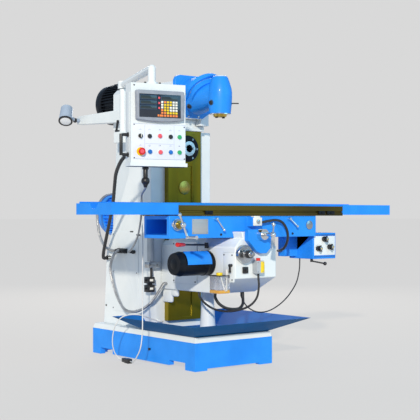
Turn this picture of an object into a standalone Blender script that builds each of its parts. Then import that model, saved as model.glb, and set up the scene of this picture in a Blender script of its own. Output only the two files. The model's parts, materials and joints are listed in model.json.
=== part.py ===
# Knee-type ram milling machine. Metres, +Z up, front is -Y, the operator's right is +X.
# Run with: blender --background --python part.py

import math

import bmesh
import bpy
from mathutils import Matrix, Vector

# Clearances
GAP = 0.0003
RUN_GAP = 0.0005

# Base
BASE_HALF = 0.303
BASE_FRONT = -0.514
BASE_REAR = 0.615
BASE_BAND = 0.168
BASE_TOP = 0.2
BASE_WALL = 0.04
FOOT_NOTCH = 0.043
FRONT_NOTCH = 0.012
FLOOR_STEP = 0.012

# Column
COLUMN_HALF = 0.24
SPINE_HALF = 0.2
SLANT_FRONT = 0.275
SHOULDER = 0.03
COLUMN_TOP = 1.466
REAR_TOP = 0.48
REAR_BOTTOM = 0.576
COLUMN_WALL = 0.045
WAY_FACE = -0.012
WAY_HALF = 0.131
WAY_BOTTOM = 0.25
DOOR_THICK = 0.003
CAP_TOP = 1.5
DOVETAIL_TOP = 1.54

# Chip tray
TRAY_RIM = 0.288
TRAY_HALF = 0.46
TRAY_FRONT = -0.7
TRAY_SHEET = 0.004

# Ram and head
RAM_HALF = 0.15
RAM_FRONT = -0.07
RAM_REAR = 0.6
RAM_TOP = 1.775
HEAD_AXIS = 1.65
DRUM_HALF = 0.14
TILT_CENTRE = (0, -0.222, 1.696)
FLANGE_RADIUS = 0.128
SPINDLE_Y = -0.372
BARREL_TOP = 1.776
BARREL_BOTTOM = 1.549
SPINDLE_NOSE = 1.529
SPINDLE_SHAFT = 0.03
HORIZONTAL_SPINDLE = 1.35
HORIZONTAL_RADIUS = 0.047

# Knee
KNEE_HALF = 0.16
KNEE_FRONT = -0.71
KNEE_BOTTOM = 0.455
KNEE_TOP = 0.785
WAYS_TOP = 0.826
SCREW_Y = -0.25
SCREW_RADIUS = 0.018
KNEE_ROOF = 0.7
PEDESTAL_TOP = 0.45
CROSS_AXIS = 0.81
DIAL = (-0.104, 0.696)

# Saddle and table
BEAM_HALF = 0.573
BEAM_FRONT = -0.627
BEAM_DEPTH = 0.25
BEAM_BOTTOM = 0.79
TABLE_BOTTOM = 0.92
TABLE_TOP = 0.98
TABLE_LEFT = -0.514
TABLE_RIGHT = 0.806
TABLE_FRONT = -0.634
TABLE_REAR = -0.274
GUARD_REACH = 0.45
GUARD_TOP = 0.99
STRIP_TOP = 1.0
GEARBOX_LEFT = 0.47
GEARBOX_RIGHT = 0.775
GEARBOX_BOTTOM = 0.645
GEARBOX_TOP = 0.81
GEARBOX_FRONT = -0.6
CRANK_X = -0.53
CRANK_Z = 0.869

# Pendant
POST = (-0.26, 0.315)
ARM_BOTTOM = 1.75
ARM_TOP = 1.797
PENDANT_FACE = (-0.533, -0.466)
PENDANT_TURN = math.radians(-13)
PENDANT_HALF = 0.17
PENDANT_DEPTH = 0.085
PENDANT_BOTTOM = 1.203
PENDANT_TOP = 1.682
BUTTON_RADIUS = 0.0125
BUTTON_HOLE = 0.013
BUTTON_UPPER = 1.3775
BUTTON_LOWER = 1.288

parts = bpy.data.collections.new("vertical_milling_machine")
cutters = bpy.data.collections.new("cutters")
paints = {}


def start():
    for item in list(bpy.data.objects):
        bpy.data.objects.remove(item, do_unlink=True)
    for collection in (parts, cutters):
        bpy.context.scene.collection.children.link(collection)
    cutters.hide_render = True


def paint(name, colour, roughness, metallic=0.0):
    material = bpy.data.materials.new(name)
    material.use_nodes = True
    shader = material.node_tree.nodes["Principled BSDF"]
    shader.inputs["Base Color"].default_value = (*colour, 1)
    shader.inputs["Roughness"].default_value = roughness
    shader.inputs["Metallic"].default_value = metallic
    material.diffuse_color = (*colour, 1)
    paints[name] = material


def mix_paints():
    paint("blue_paint", (0.05, 0.27, 0.8), 0.35)
    paint("white_paint", (0.82, 0.84, 0.83), 0.4)
    paint("oiled_steel", (0.28, 0.24, 0.08), 0.35, 0.9)
    paint("chrome", (0.8, 0.8, 0.82), 0.15, 1.0)
    paint("steel", (0.45, 0.45, 0.44), 0.3, 1.0)
    paint("black_plastic", (0.02, 0.02, 0.022), 0.45)
    paint("motor_black", (0.015, 0.018, 0.022), 0.5)
    paint("red_plastic", (0.7, 0.03, 0.03), 0.35)
    paint("blue_plastic", (0.02, 0.2, 0.6), 0.35)
    paint("green_plastic", (0.05, 0.45, 0.2), 0.35)
    paint("oil_tank", (0.75, 0.45, 0.12), 0.2)
    paint("yellow_paint", (0.75, 0.6, 0.05), 0.4)
    paint("grey_cable", (0.45, 0.46, 0.46), 0.45)
    paint("light_cable", (0.7, 0.7, 0.68), 0.5)
    paint("lamp_grey", (0.45, 0.52, 0.62), 0.4)
    paint("console_grey", (0.4, 0.42, 0.46), 0.5)


def form(mesh_tools):
    """A helper shape, kept out of the render until a part takes it."""
    mesh = bpy.data.meshes.new("form")
    mesh_tools.to_mesh(mesh)
    mesh_tools.free()
    item = bpy.data.objects.new("form", mesh)
    cutters.objects.link(item)
    item.hide_render = True
    item.display_type = "WIRE"
    return item


def block(low, high, place=None):
    low, high = Vector(low), Vector(high)
    tools = bmesh.new()
    size = Matrix.Diagonal((*(high - low), 1))
    bmesh.ops.create_cube(tools, size=1, matrix=Matrix.Translation((low + high) / 2) @ size)
    if place:
        tools.transform(place)
    return form(tools)


def rod(start_at, end_at, radius, end_radius=None, sides=24, place=None):
    start_at, end_at = Vector(start_at), Vector(end_at)
    along = end_at - start_at
    turn = along.to_track_quat("Z", "Y").to_matrix().to_4x4()
    tools = bmesh.new()
    bmesh.ops.create_cone(
        tools,
        cap_ends=True,
        segments=sides,
        radius1=radius,
        radius2=radius if end_radius is None else end_radius,
        depth=along.length,
        matrix=Matrix.Translation((start_at + end_at) / 2) @ turn,
    )
    if place:
        tools.transform(place)
    return form(tools)


def ball(centre, radius, place=None):
    tools = bmesh.new()
    bmesh.ops.create_uvsphere(tools, u_segments=14, v_segments=9, radius=radius, matrix=Matrix.Translation(centre))
    if place:
        tools.transform(place)
    return form(tools)


def outline(points, axis, low, high):
    """A flat outline across one axis, drawn out from low to high along it."""
    order = {
        "x": lambda a, b, c: (c, a, b),
        "y": lambda a, b, c: (a, c, b),
        "z": lambda a, b, c: (a, b, c),
    }[axis]
    tools = bmesh.new()
    face = tools.faces.new([tools.verts.new(order(a, b, low)) for a, b in points])
    grown = bmesh.ops.extrude_face_region(tools, geom=[face])
    moved = [v for v in grown["geom"] if isinstance(v, bmesh.types.BMVert)]
    bmesh.ops.translate(tools, verts=moved, vec=Vector(order(0, 0, high - low)))
    bmesh.ops.recalc_face_normals(tools, faces=tools.faces)
    return form(tools)


def turned(profile, centre, steps=28):
    """A profile of (radius, height) from top to bottom, turned about a vertical line."""
    mesh = bpy.data.meshes.new("profile")
    mesh.from_pydata([(r, 0, h) for r, h in profile], [(i, i + 1) for i in range(len(profile) - 1)], [])
    item = bpy.data.objects.new("form", mesh)
    cutters.objects.link(item)
    item.location = (*centre, 0)
    item.hide_render = True
    item.display_type = "WIRE"
    screw = item.modifiers.new("turn", "SCREW")
    screw.steps = steps
    screw.render_steps = steps
    screw.use_merge_vertices = True
    screw.merge_threshold = 0.00005
    return item


def pivot(name, at):
    empty = bpy.data.objects.new(name, None)
    empty.location = at
    empty.empty_display_size = 0.05
    parts.objects.link(empty)
    return empty


def part(name, colour, body, join=(), cut=(), turns_on=None):
    """Makes a helper shape into a named part, joined to and cut by others."""
    cutters.objects.unlink(body)
    parts.objects.link(body)
    body.name = name
    body.data.name = name
    body.hide_render = False
    body.display_type = "TEXTURED"
    body.data.materials.append(paints[colour])
    for operation, others in (("UNION", join), ("DIFFERENCE", cut)):
        for other in others:
            boolean = body.modifiers.new(operation.lower(), "BOOLEAN")
            boolean.operation = operation
            boolean.solver = "EXACT"
            boolean.object = other
    if turns_on:
        body.parent = turns_on
        body.matrix_parent_inverse = Matrix.Translation(-turns_on.location)
    return body


def smooth_route(points, spacing):
    """Points along a smooth curve through the route's own points."""
    knots = [Vector(point) for point in points]
    padded = [2 * knots[0] - knots[1], *knots, 2 * knots[-1] - knots[-2]]
    route = []
    for before, first, second, after in zip(padded, padded[1:], padded[2:], padded[3:]):
        steps = max(1, round((second - first).length / spacing))
        for step in range(steps):
            t = step / steps
            bend = (2 * before - 5 * first + 4 * second - after) * t**2
            twist = (3 * first - before - 3 * second + after) * t**3
            route.append((2 * first + (second - before) * t + bend + twist) / 2)
    return [*route, knots[-1]]


def cable(name, colour, points, radius, spacing):
    curve = bpy.data.curves.new(name, "CURVE")
    curve.dimensions = "3D"
    curve.bevel_depth = radius
    curve.bevel_resolution = 2
    curve.use_fill_caps = True
    curve.materials.append(paints[colour])
    route = smooth_route(points, spacing)
    spline = curve.splines.new("POLY")
    spline.points.add(len(route) - 1)
    for spline_point, place in zip(spline.points, route):
        spline_point.co = (*place, 1)
    item = bpy.data.objects.new(name, curve)
    parts.objects.link(item)
    return item


def both_sides(low, high):
    """Two blocks, one each side of the machine's centre plane."""
    (x0, y0, z0), (x1, y1, z1) = low, high
    return [block((x0, y0, z0), (x1, y1, z1)), block((-x1, y0, z0), (-x0, y1, z1))]


def make_base():
    tools = bmesh.new()
    low = Vector((-BASE_HALF, BASE_FRONT, 0))
    high = Vector((BASE_HALF, BASE_REAR, BASE_BAND))
    size = Matrix.Diagonal((*(high - low), 1))
    bmesh.ops.create_cube(tools, size=1, matrix=Matrix.Translation((low + high) / 2) @ size)
    top = [face for face in tools.faces if face.normal.z > 0.9]
    bmesh.ops.inset_region(tools, faces=top, thickness=0.014, depth=BASE_TOP - BASE_BAND)
    body = form(tools)
    rib = 0.03
    inner = BASE_HALF - BASE_WALL
    ceiling = BASE_BAND - 0.02
    hollows = [
        block((-inner, BASE_FRONT + BASE_WALL, -0.01), (inner, -rib, ceiling)),
        block((-inner, rib, -0.01), (inner, BASE_REAR - BASE_WALL, ceiling)),
    ]
    notches = [
        block((-0.4, -0.415, -0.02), (0.4, -0.25, FOOT_NOTCH)),
        block((-0.4, 0.373, -0.02), (0.4, 0.523, FOOT_NOTCH)),
        block((-0.21, -0.6, -0.02), (0.2, -0.4, FRONT_NOTCH)),
        block((-0.21, 0.5, -0.02), (0.2, 0.7, FRONT_NOTCH)),
    ]
    steps = both_sides((inner - 0.01, -0.255, -0.03), (0.42, 0.375, FLOOR_STEP))
    screw_hole = rod((0, SCREW_Y, 0.1), (0, SCREW_Y, 0.3), SCREW_RADIUS + 0.004)
    part("base", "blue_paint", body, cut=[*hollows, *notches, *steps, screw_hole])


def tray_frame(height, inset):
    """The tray's rectangle at a height, drawn in from its sloping sides."""
    rise = (height - BASE_TOP - GAP) / (TRAY_RIM - BASE_TOP - GAP)
    back = SHOULDER - RUN_GAP
    x = 0.29 + (TRAY_HALF - 0.29) * rise - inset
    front = -0.49 + (TRAY_FRONT + 0.49) * rise + inset
    rear = back + 0.11 * rise - inset
    return [(-x, front, height), (x, front, height), (x, rear, height), (-x, rear, height)]


def tapered(low, high):
    """A solid between two rectangles, one above the other."""
    tools = bmesh.new()
    corners = [tools.verts.new(point) for point in (*low, *high)]
    bmesh.ops.convex_hull(tools, input=corners)
    bmesh.ops.recalc_face_normals(tools, faces=tools.faces)
    return form(tools)


def make_chip_tray():
    bottom, slope_wall = BASE_TOP + GAP, 0.005
    body = tapered(tray_frame(bottom, 0), tray_frame(TRAY_RIM, 0))
    inside = tapered(tray_frame(bottom + TRAY_SHEET, slope_wall), tray_frame(TRAY_RIM + 0.02, slope_wall))
    side = COLUMN_HALF + RUN_GAP
    column_foot = block((-side, SHOULDER - RUN_GAP, 0.1), (side, 0.4, 0.5))
    open_back = block((-side, SHOULDER - 0.03, bottom + TRAY_SHEET), (side, 0.4, 0.5))
    hole = rod((0, SCREW_Y, 0.1), (0, SCREW_Y, 0.3), SCREW_RADIUS + 0.002)
    part("chip_tray", "blue_paint", body, cut=[inside, column_foot, open_back, hole])


def make_column():
    profile = [(SHOULDER, BASE_TOP + GAP), (REAR_BOTTOM, BASE_TOP + GAP), (REAR_TOP, COLUMN_TOP), (SHOULDER, COLUMN_TOP)]
    body = outline(profile, "x", -COLUMN_HALF, COLUMN_HALF)
    slant = [(SLANT_FRONT, 1.205), (0.54, 0.69), (0.8, 0.69), (0.8, 1.6), (SLANT_FRONT, 1.6)]
    sides = [outline(slant, "x", SPINE_HALF, 0.4), outline(slant, "x", -0.4, -SPINE_HALF)]
    inner = SPINE_HALF - COLUMN_WALL / 2
    hollow = block((-inner, SHOULDER + COLUMN_WALL, 0.1), (inner, REAR_TOP - COLUMN_WALL, COLUMN_TOP - COLUMN_WALL))
    doorway = block((-0.3, 0.2, 0.32), (-0.15, 0.43, 0.78))
    bore = rod((0, -0.1, HORIZONTAL_SPINDLE), (0, 0.1, HORIZONTAL_SPINDLE), HORIZONTAL_RADIUS + RUN_GAP, sides=32)
    motor_pad = block((-0.12, 0.4, 0.8), (0.12, 0.535, 1.054))
    glands = [
        rod((-0.22, 0.045, 0.93), (-0.262, 0.045, 0.93), 0.01, sides=12),
        rod((-0.22, 0.5, 0.64), (-0.265, 0.5, 0.64), 0.016, sides=12),
        rod((-0.185, 0.05, 0.25), (-0.185, 0.002, 0.25), 0.009, sides=12),
    ]
    part("column", "white_paint", body, join=[motor_pad, *glands], cut=[*sides, hollow, doorway, bore])

    ways = block((-WAY_HALF, WAY_FACE, WAY_BOTTOM), (WAY_HALF, SHOULDER - GAP, COLUMN_TOP - GAP))
    ring = rod((0, 0, HORIZONTAL_SPINDLE), (0, -0.04, HORIZONTAL_SPINDLE), 0.0825, sides=32)
    recess = block((-0.055, -0.1, 0.27), (0.055, WAY_FACE + 0.006, 1.24))
    bore = rod((0, -0.1, HORIZONTAL_SPINDLE), (0, 0.1, HORIZONTAL_SPINDLE), HORIZONTAL_RADIUS + RUN_GAP, sides=32)
    part("column_ways", "oiled_steel", ways, join=[ring], cut=[recess, bore])

    face = -COLUMN_HALF - GAP
    door = block((face - DOOR_THICK, 0.166, 0.292), (face, 0.468, 0.815))
    glands = [
        rod((face - 0.001, 0.206, 0.686), (-0.262, 0.206, 0.686), 0.01, sides=12),
        rod((face - 0.001, 0.34, 0.69), (-0.262, 0.34, 0.69), 0.013, sides=12),
    ]
    part("cabinet_cover", "white_paint", door, join=glands)

    cap = block((-RAM_HALF, -0.02, COLUMN_TOP + GAP), (RAM_HALF, REAR_TOP - 0.002, CAP_TOP))
    ridge = outline([(-0.075, CAP_TOP - 0.005), (0.075, CAP_TOP - 0.005), (0.09, DOVETAIL_TOP), (-0.09, DOVETAIL_TOP)],
                    "y", -0.02, REAR_TOP - 0.002)
    part("column_top", "white_paint", cap, join=[ridge])

    spin = pivot("horizontal_spindle_axis", (0, -0.03, HORIZONTAL_SPINDLE))
    shaft = rod((0, -0.06, HORIZONTAL_SPINDLE), (0, 0.065, HORIZONTAL_SPINDLE), HORIZONTAL_RADIUS, sides=32)
    taper = rod((0, -0.07, HORIZONTAL_SPINDLE), (0, 0.04, HORIZONTAL_SPINDLE), 0.026, 0.012)
    keys = [block((x - 0.008, -0.066, HORIZONTAL_SPINDLE - 0.008), (x + 0.008, -0.055, HORIZONTAL_SPINDLE + 0.008))
            for x in (-0.036, 0.036)]
    part("horizontal_spindle", "steel", shaft, join=keys, cut=[taper], turns_on=spin)


def make_rear_motor():
    front = 0.535 + GAP
    axis = 0.927
    body = rod((0, front, axis), (0, 0.78, axis), 0.15, sides=32)
    cowl = rod((0, 0.77, axis), (0, 0.82, axis), 0.154, 0.13, sides=32)
    box = block((-0.06, 0.6, axis + 0.1), (0.06, 0.72, axis + 0.19))
    part("rear_motor", "blue_paint", body, join=[cowl, box])


def make_elevating_screw():
    bottom = BASE_TOP + 2 * GAP + TRAY_SHEET
    tube = turned([(0, PEDESTAL_TOP), (0.032, PEDESTAL_TOP), (0.036, PEDESTAL_TOP - 0.01), (0.05, bottom), (0, bottom)],
                  (0, SCREW_Y))
    bore = rod((0, SCREW_Y, 0.1), (0, SCREW_Y, 0.6), SCREW_RADIUS + RUN_GAP)
    part("screw_pedestal", "white_paint", tube, cut=[bore])
    spin = pivot("elevating_screw_axis", (0, SCREW_Y, KNEE_BOTTOM))
    screw = rod((0, SCREW_Y, 0.26), (0, SCREW_Y, KNEE_ROOF - GAP), SCREW_RADIUS)
    part("elevating_screw", "steel", screw, turns_on=spin)


def make_ram():
    half, low = RAM_HALF, CAP_TOP + GAP
    section = [(-half, low), (half, low), (half, RAM_TOP - 0.03), (half - 0.03, RAM_TOP),
               (-half + 0.03, RAM_TOP), (-half, RAM_TOP - 0.03)]
    body = outline(section, "y", RAM_FRONT, RAM_REAR)
    slot = outline([(-0.075 - RUN_GAP, CAP_TOP - 0.01), (0.075 + RUN_GAP, CAP_TOP - 0.01),
                    (0.09 + RUN_GAP, DOVETAIL_TOP + RUN_GAP), (-0.09 - RUN_GAP, DOVETAIL_TOP + RUN_GAP)],
                   "y", RAM_FRONT - 0.1, RAM_REAR + 0.1)
    hollow = block((-0.1, 0.0, 1.56), (0.1, RAM_REAR + 0.1, 1.73))
    lamp_face = -half - GAP
    part("ram", "white_paint", body, cut=[slot, hollow])

    front = RAM_REAR + GAP
    axis = 1.7
    body = rod((0, front, axis), (0, 0.82, axis), 0.14, sides=32)
    cowl = rod((0, 0.81, axis), (0, 0.895, axis), 0.144, 0.118, sides=32)
    part("ram_motor", "motor_black", body, join=[cowl])

    arm = outline([(0.42, 1.541), (0.975, 1.563), (0.975, 1.618), (0.93, 1.62), (0.42, 1.626)],
                  "x", lamp_face - 0.06, lamp_face)
    part("lamp_bracket", "white_paint", arm)

    tilt = pivot("lamp_axis", (-0.21, 0.945, 1.59))
    lens = Vector((-0.33, 0.93, 1.58))
    facing = Vector((-0.37, -0.47, -0.8)).normalized()
    head = rod(lens - facing * 0.115, lens, 0.042, 0.047)
    elbow = lens - facing * 0.06
    outside = lamp_face - 0.06 - GAP
    lamp_arm = rod((outside, 0.945, 1.59), (-0.25, 0.945, 1.59), 0.014, sides=16)
    link = rod((-0.24, 0.945, 1.59), elbow, 0.011, sides=12)
    part("lamp_head", "lamp_grey", head, join=[lamp_arm, link], turns_on=tilt)

    swing = pivot("ram_lever_axis", (-half, 0.44, 1.483))
    stub = rod((-half - GAP, 0.44, 1.483), (-0.236, 0.44, 1.483), 0.008, sides=12)
    grip = rod((-0.23, 0.44, 1.483), (-0.24, 0.405, 1.55), 0.007, 0.009, sides=12)
    part("ram_clamp_lever", "black_plastic", stub, join=[grip], turns_on=swing)


def front_of_joint(offset, side):
    """A large block on one side of the 45 degree joint plane."""
    across = Vector((0, -1, -1)).normalized()
    turn = across.to_track_quat("Z", "X").to_matrix().to_4x4()
    place = Matrix.Translation(Vector(TILT_CENTRE) + across * offset) @ turn
    low, high = (0, 0.8) if side > 0 else (-0.8, 0)
    return block((-0.6, -0.6, low), (0.6, 0.6, high), place)


def make_head():
    across = Vector((0, -1, -1)).normalized()
    centre = Vector(TILT_CENTRE)
    swivel = pivot("head_swivel_axis", (0, RAM_FRONT, HEAD_AXIS))
    drum_front = RAM_FRONT - GAP
    wide, low, high = DRUM_HALF, HEAD_AXIS - 0.115, HEAD_AXIS + 0.16
    corners = [(-wide + 0.05, low), (wide - 0.05, low), (wide, low + 0.05), (wide, high - 0.032), (wide - 0.012, high - 0.01),
               (wide - 0.034, high), (-wide + 0.034, high), (-wide + 0.012, high - 0.01), (-wide, high - 0.032), (-wide, low + 0.05)]
    drum = outline(corners, "y", RAM_FRONT - 0.03, drum_front)
    neck = rod((0, drum_front - 0.02, HEAD_AXIS + 0.024), (0, -0.4, HEAD_AXIS + 0.02), 0.121, sides=32)
    plate = rod(centre - across * 0.03, centre + across * 0.01, FLANGE_RADIUS, sides=32)
    beyond = front_of_joint(0, 1)
    behind_drum = block((-0.5, drum_front, 1.3), (0.5, 0.5, 2))
    part("swivel_housing", "blue_paint", drum, join=[neck, plate], cut=[beyond, behind_drum], turns_on=swivel)

    tilt = pivot("head_tilt_axis", centre)
    profile = [(0, BARREL_TOP), (0.046, BARREL_TOP), (0.051, 1.766), (0.063, 1.731), (0.071, 1.704), (0.0745, 1.68), (0.0745, 1.64),
               (0.071, 1.59), (0.067, 1.558), (0.067, BARREL_BOTTOM), (0, BARREL_BOTTOM)]
    barrel = turned(profile, (0, SPINDLE_Y), 32)
    flange = rod(centre - across * 0.02, centre + across * 0.035, FLANGE_RADIUS - 0.019, sides=32)
    cheek = rod((0, SPINDLE_Y, 1.672), (0, -0.15, 1.672), 0.064, 0.112, sides=32)
    bore = rod((0, SPINDLE_Y, 1.5), (0, SPINDLE_Y, 1.63), SPINDLE_SHAFT + RUN_GAP)
    behind = front_of_joint(GAP, -1)
    part("spindle_housing", "blue_paint", barrel, join=[cheek, flange], cut=[behind, bore], turns_on=tilt)

    spin = pivot("spindle_axis", (0, SPINDLE_Y, SPINDLE_NOSE))
    top = BARREL_BOTTOM - GAP
    nose = rod((0, SPINDLE_Y, SPINDLE_NOSE), (0, SPINDLE_Y, top), 0.039, 0.045)
    shaft = rod((0, SPINDLE_Y, top - 0.01), (0, SPINDLE_Y, 1.62), SPINDLE_SHAFT)
    taper = rod((0, SPINDLE_Y, 1.5), (0, SPINDLE_Y, 1.6), 0.027, 0.012)
    part("vertical_spindle", "oiled_steel", nose, join=[shaft], cut=[taper], turns_on=spin)


def dovetail(extra):
    """The knee's ways, and with extra the saddle's slot over them."""
    return [(-0.095 - extra, KNEE_TOP - 0.006), (0.095 + extra, KNEE_TOP - 0.006),
            (0.11 + extra, WAYS_TOP + extra), (-0.11 - extra, WAYS_TOP + extra)]


def make_knee():
    half = KNEE_HALF
    section = [(-half, KNEE_BOTTOM), (half, KNEE_BOTTOM), (half, 0.735), (0.115, KNEE_TOP), (-0.115, KNEE_TOP), (-half, 0.735)]
    body = outline(section, "y", KNEE_FRONT, SHOULDER - 0.008)
    ways = outline(dovetail(0), "y", KNEE_FRONT, -0.03)
    slope = outline([(-0.73, 0.5633), (-0.49, 0.4395), (-0.49, 0.4), (-0.73, 0.4)], "x", -0.3, 0.3)
    slot = block((-WAY_HALF - RUN_GAP, WAY_FACE - GAP, 0.4), (WAY_HALF + RUN_GAP, 0.2, 0.9))
    hollow = block((-0.13, -0.46, 0.4), (0.13, -0.06, KNEE_ROOF))
    part("knee", "white_paint", body, join=[ways], cut=[slope, slot, hollow])

    face = KNEE_FRONT - GAP
    apron = [(-0.09, 0.84), (-0.09, 0.775), (-0.03, 0.712), (0.0, 0.698), (0.05, 0.698), (0.095, 0.74), (0.095, 0.84)]
    part("cross_bracket", "blue_paint", outline(apron, "y", -0.75, face))

    spin = pivot("cross_crank_axis", (0, -0.75, CROSS_AXIS))
    dial = rod((0, -0.75 - GAP, CROSS_AXIS), (0, -0.79, CROSS_AXIS), 0.032)
    shaft = rod((0, -0.78, CROSS_AXIS), (0, -0.86, CROSS_AXIS), 0.012, sides=16)
    hub = ball((0, -0.86, CROSS_AXIS), 0.018)
    neck = rod((0, -0.86, CROSS_AXIS), (0.004, -0.86, 0.869), 0.006, sides=10)
    tip = ball((0.004, -0.86, 0.869), 0.012)
    grip = rod((0, -0.86, CROSS_AXIS), (-0.004, -0.86, 0.73), 0.009, 0.016, sides=16)
    part("cross_crank", "chrome", dial, join=[shaft, hub, neck, tip, grip], turns_on=spin)

    x, z = DIAL
    spin = pivot("elevating_dial_axis", (x, face, z))
    disc = rod((x, face, z), (x, face - 0.03, z), 0.054, sides=28)
    hub = rod((x, face - 0.02, z), (x, face - 0.078, z), 0.021, 0.018)
    stub = rod((x, face - 0.07, z), (x, face - 0.1, z), 0.012, sides=12)
    part("elevating_dial", "steel", disc, join=[hub, stub], turns_on=spin)

    side = -half - GAP
    motor = rod((side, -0.46, 0.636), (side - 0.2297, -0.46, 0.636), 0.0715, sides=28)
    cowl = rod((side - 0.2197, -0.46, 0.636), (side - 0.2597, -0.46, 0.636), 0.074, 0.064, sides=28)
    part("feed_motor", "motor_black", motor, join=[cowl])

    part("lubricator_tank", "oil_tank", block((side - 0.0847, -0.665, 0.466), (side, -0.575, 0.575)))
    swing = pivot("lubricator_lever_axis", (side, -0.685, 0.63))
    stub = rod((side, -0.685, 0.63), (side - 0.0257, -0.685, 0.63), 0.009, sides=12)
    grip = rod((side - 0.0197, -0.685, 0.63), (side - 0.0197, -0.685, 0.588), 0.006, 0.008, sides=12)
    part("lubricator_lever", "black_plastic", stub, join=[grip], turns_on=swing)

    travel, top = 0.004, 0.655
    box = block((-0.028, -0.752, 0.58), (0.028, face, top))
    part("switch_box", "yellow_paint", box, cut=[rod((0, -0.73, top - 0.01), (0, -0.73, top + 0.1), BUTTON_HOLE)])
    press = pivot("switch_button_axis", (0, -0.73, top))
    button = rod((0, -0.73, top - 0.01 + travel + RUN_GAP), (0, -0.73, top + 0.016), BUTTON_RADIUS)
    part("switch_button", "red_plastic", button, turns_on=press)

    hinge, tip = Vector((side - 0.0122, -0.456, 0.745)), Vector((side - 0.3197, -0.575, 0.754))
    swing = pivot("rapid_lever_axis", hinge)
    root = rod(hinge - Vector((0, 0, 0.02)), hinge + Vector((0, 0, 0.014)), 0.012, sides=16)
    bar = rod(hinge.lerp(tip, 0.01), hinge.lerp(tip, 0.8), 0.0055, sides=10)
    grip = rod(hinge.lerp(tip, 0.78), tip, 0.0085, 0.0105, sides=14)
    part("rapid_lever", "red_plastic", root, join=[bar, grip], turns_on=swing)


def make_saddle():
    top = TABLE_BOTTOM - GAP
    rear = BEAM_FRONT + BEAM_DEPTH
    body = block((-BEAM_HALF, BEAM_FRONT, BEAM_BOTTOM), (BEAM_HALF, rear, top))
    slot = outline(dovetail(RUN_GAP), "y", BEAM_FRONT - 0.1, rear + 0.1)
    ends = both_sides((0.15, BEAM_FRONT + 0.027, BEAM_BOTTOM + 0.02), (0.7, rear - 0.02, top - 0.02))
    switch = block((0.0, -0.675, 0.856), (0.08, BEAM_FRONT + 0.01, 0.912))
    part("saddle_beam", "blue_paint", body, join=[switch], cut=[slot, *ends])

    rear = GEARBOX_FRONT + 0.22
    step = BEAM_HALF + GAP
    case = block((step, GEARBOX_FRONT, GEARBOX_BOTTOM), (GEARBOX_RIGHT, rear, GEARBOX_TOP))
    foot = block((GEARBOX_LEFT, rear - 0.07, GEARBOX_BOTTOM + 0.015), (step + 0.01, rear - 0.004, BEAM_BOTTOM - GAP))
    inside = block((step + 0.02, GEARBOX_FRONT + 0.02, GEARBOX_BOTTOM + 0.02),
                   (GEARBOX_RIGHT - 0.02, rear + 0.1, GEARBOX_TOP - 0.02))
    part("feed_gearbox", "blue_paint", case, join=[foot], cut=[inside])

    front = GEARBOX_FRONT - GAP
    for name, x, z in (("speed_knob_upper", 0.666, 0.771), ("speed_knob_middle", 0.714, 0.72), ("speed_knob_lower", 0.612, 0.712)):
        spin = pivot(name + "_axis", (x, front, z))
        hub = rod((x, front, z), (x, front - 0.022, z), 0.017)
        lever = rod((x, front - 0.03, z - 0.02), (x, front - 0.03, z + 0.02), 0.008, 0.006, sides=12)
        core = rod((x, front - 0.02, z), (x, front - 0.034, z), 0.01, sides=12)
        part(name, "black_plastic", hub, join=[core, lever], turns_on=spin)

    low = GEARBOX_BOTTOM - GAP
    swing = pivot("gearbox_lever_axis", (0.6, -0.56, low))
    stub = rod((0.6, -0.56, low), (0.6, -0.56, low - 0.02), 0.009, sides=12)
    arm = rod((0.6, -0.56, low - 0.014), (0.66, -0.62, low - 0.03), 0.005, sides=10)
    part("gearbox_lever", "black_plastic", stub, join=[arm, ball((0.66, -0.62, low - 0.03), 0.012)], turns_on=swing)

    front = BEAM_FRONT - GAP
    plane = -0.7
    spin = pivot("traverse_crank_axis", (CRANK_X, front, CRANK_Z))
    along = Vector((0.39, 0, -0.92)).normalized()
    centre = Vector((CRANK_X, plane, CRANK_Z))
    upper, lower = centre - along * 0.062, centre + along * 0.077
    hub = rod((CRANK_X, front, CRANK_Z), (CRANK_X, front - 0.02, CRANK_Z), 0.034)
    shaft = rod((CRANK_X, front - 0.01, CRANK_Z), centre, 0.014, sides=16)
    pieces = [shaft, ball(centre, 0.017), rod(centre, upper, 0.006, sides=10), ball(upper, 0.011),
              rod(centre, lower, 0.007, sides=10), ball(lower, 0.012),
              rod(lower, lower + Vector((0, -0.085, 0)), 0.007, 0.011, sides=14)]
    part("traverse_crank", "chrome", hub, join=pieces, turns_on=spin)

    for name, foot, tip in (("table_clamp_left", (-0.245, 0.9), (-0.2, 0.838)), ("table_clamp_right", (0.335, 0.9), (0.385, 0.856))):
        swing = pivot(name + "_axis", (foot[0], front, foot[1]))
        stub = rod((foot[0], front, foot[1]), (foot[0], front - 0.026, foot[1]), 0.009, sides=12)
        start_at = (foot[0], front - 0.022, foot[1])
        end_at = (tip[0], front - 0.03, tip[1])
        part(name, "chrome", stub, join=[rod(start_at, end_at, 0.005, sides=10), ball(end_at, 0.009)], turns_on=swing)


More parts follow.
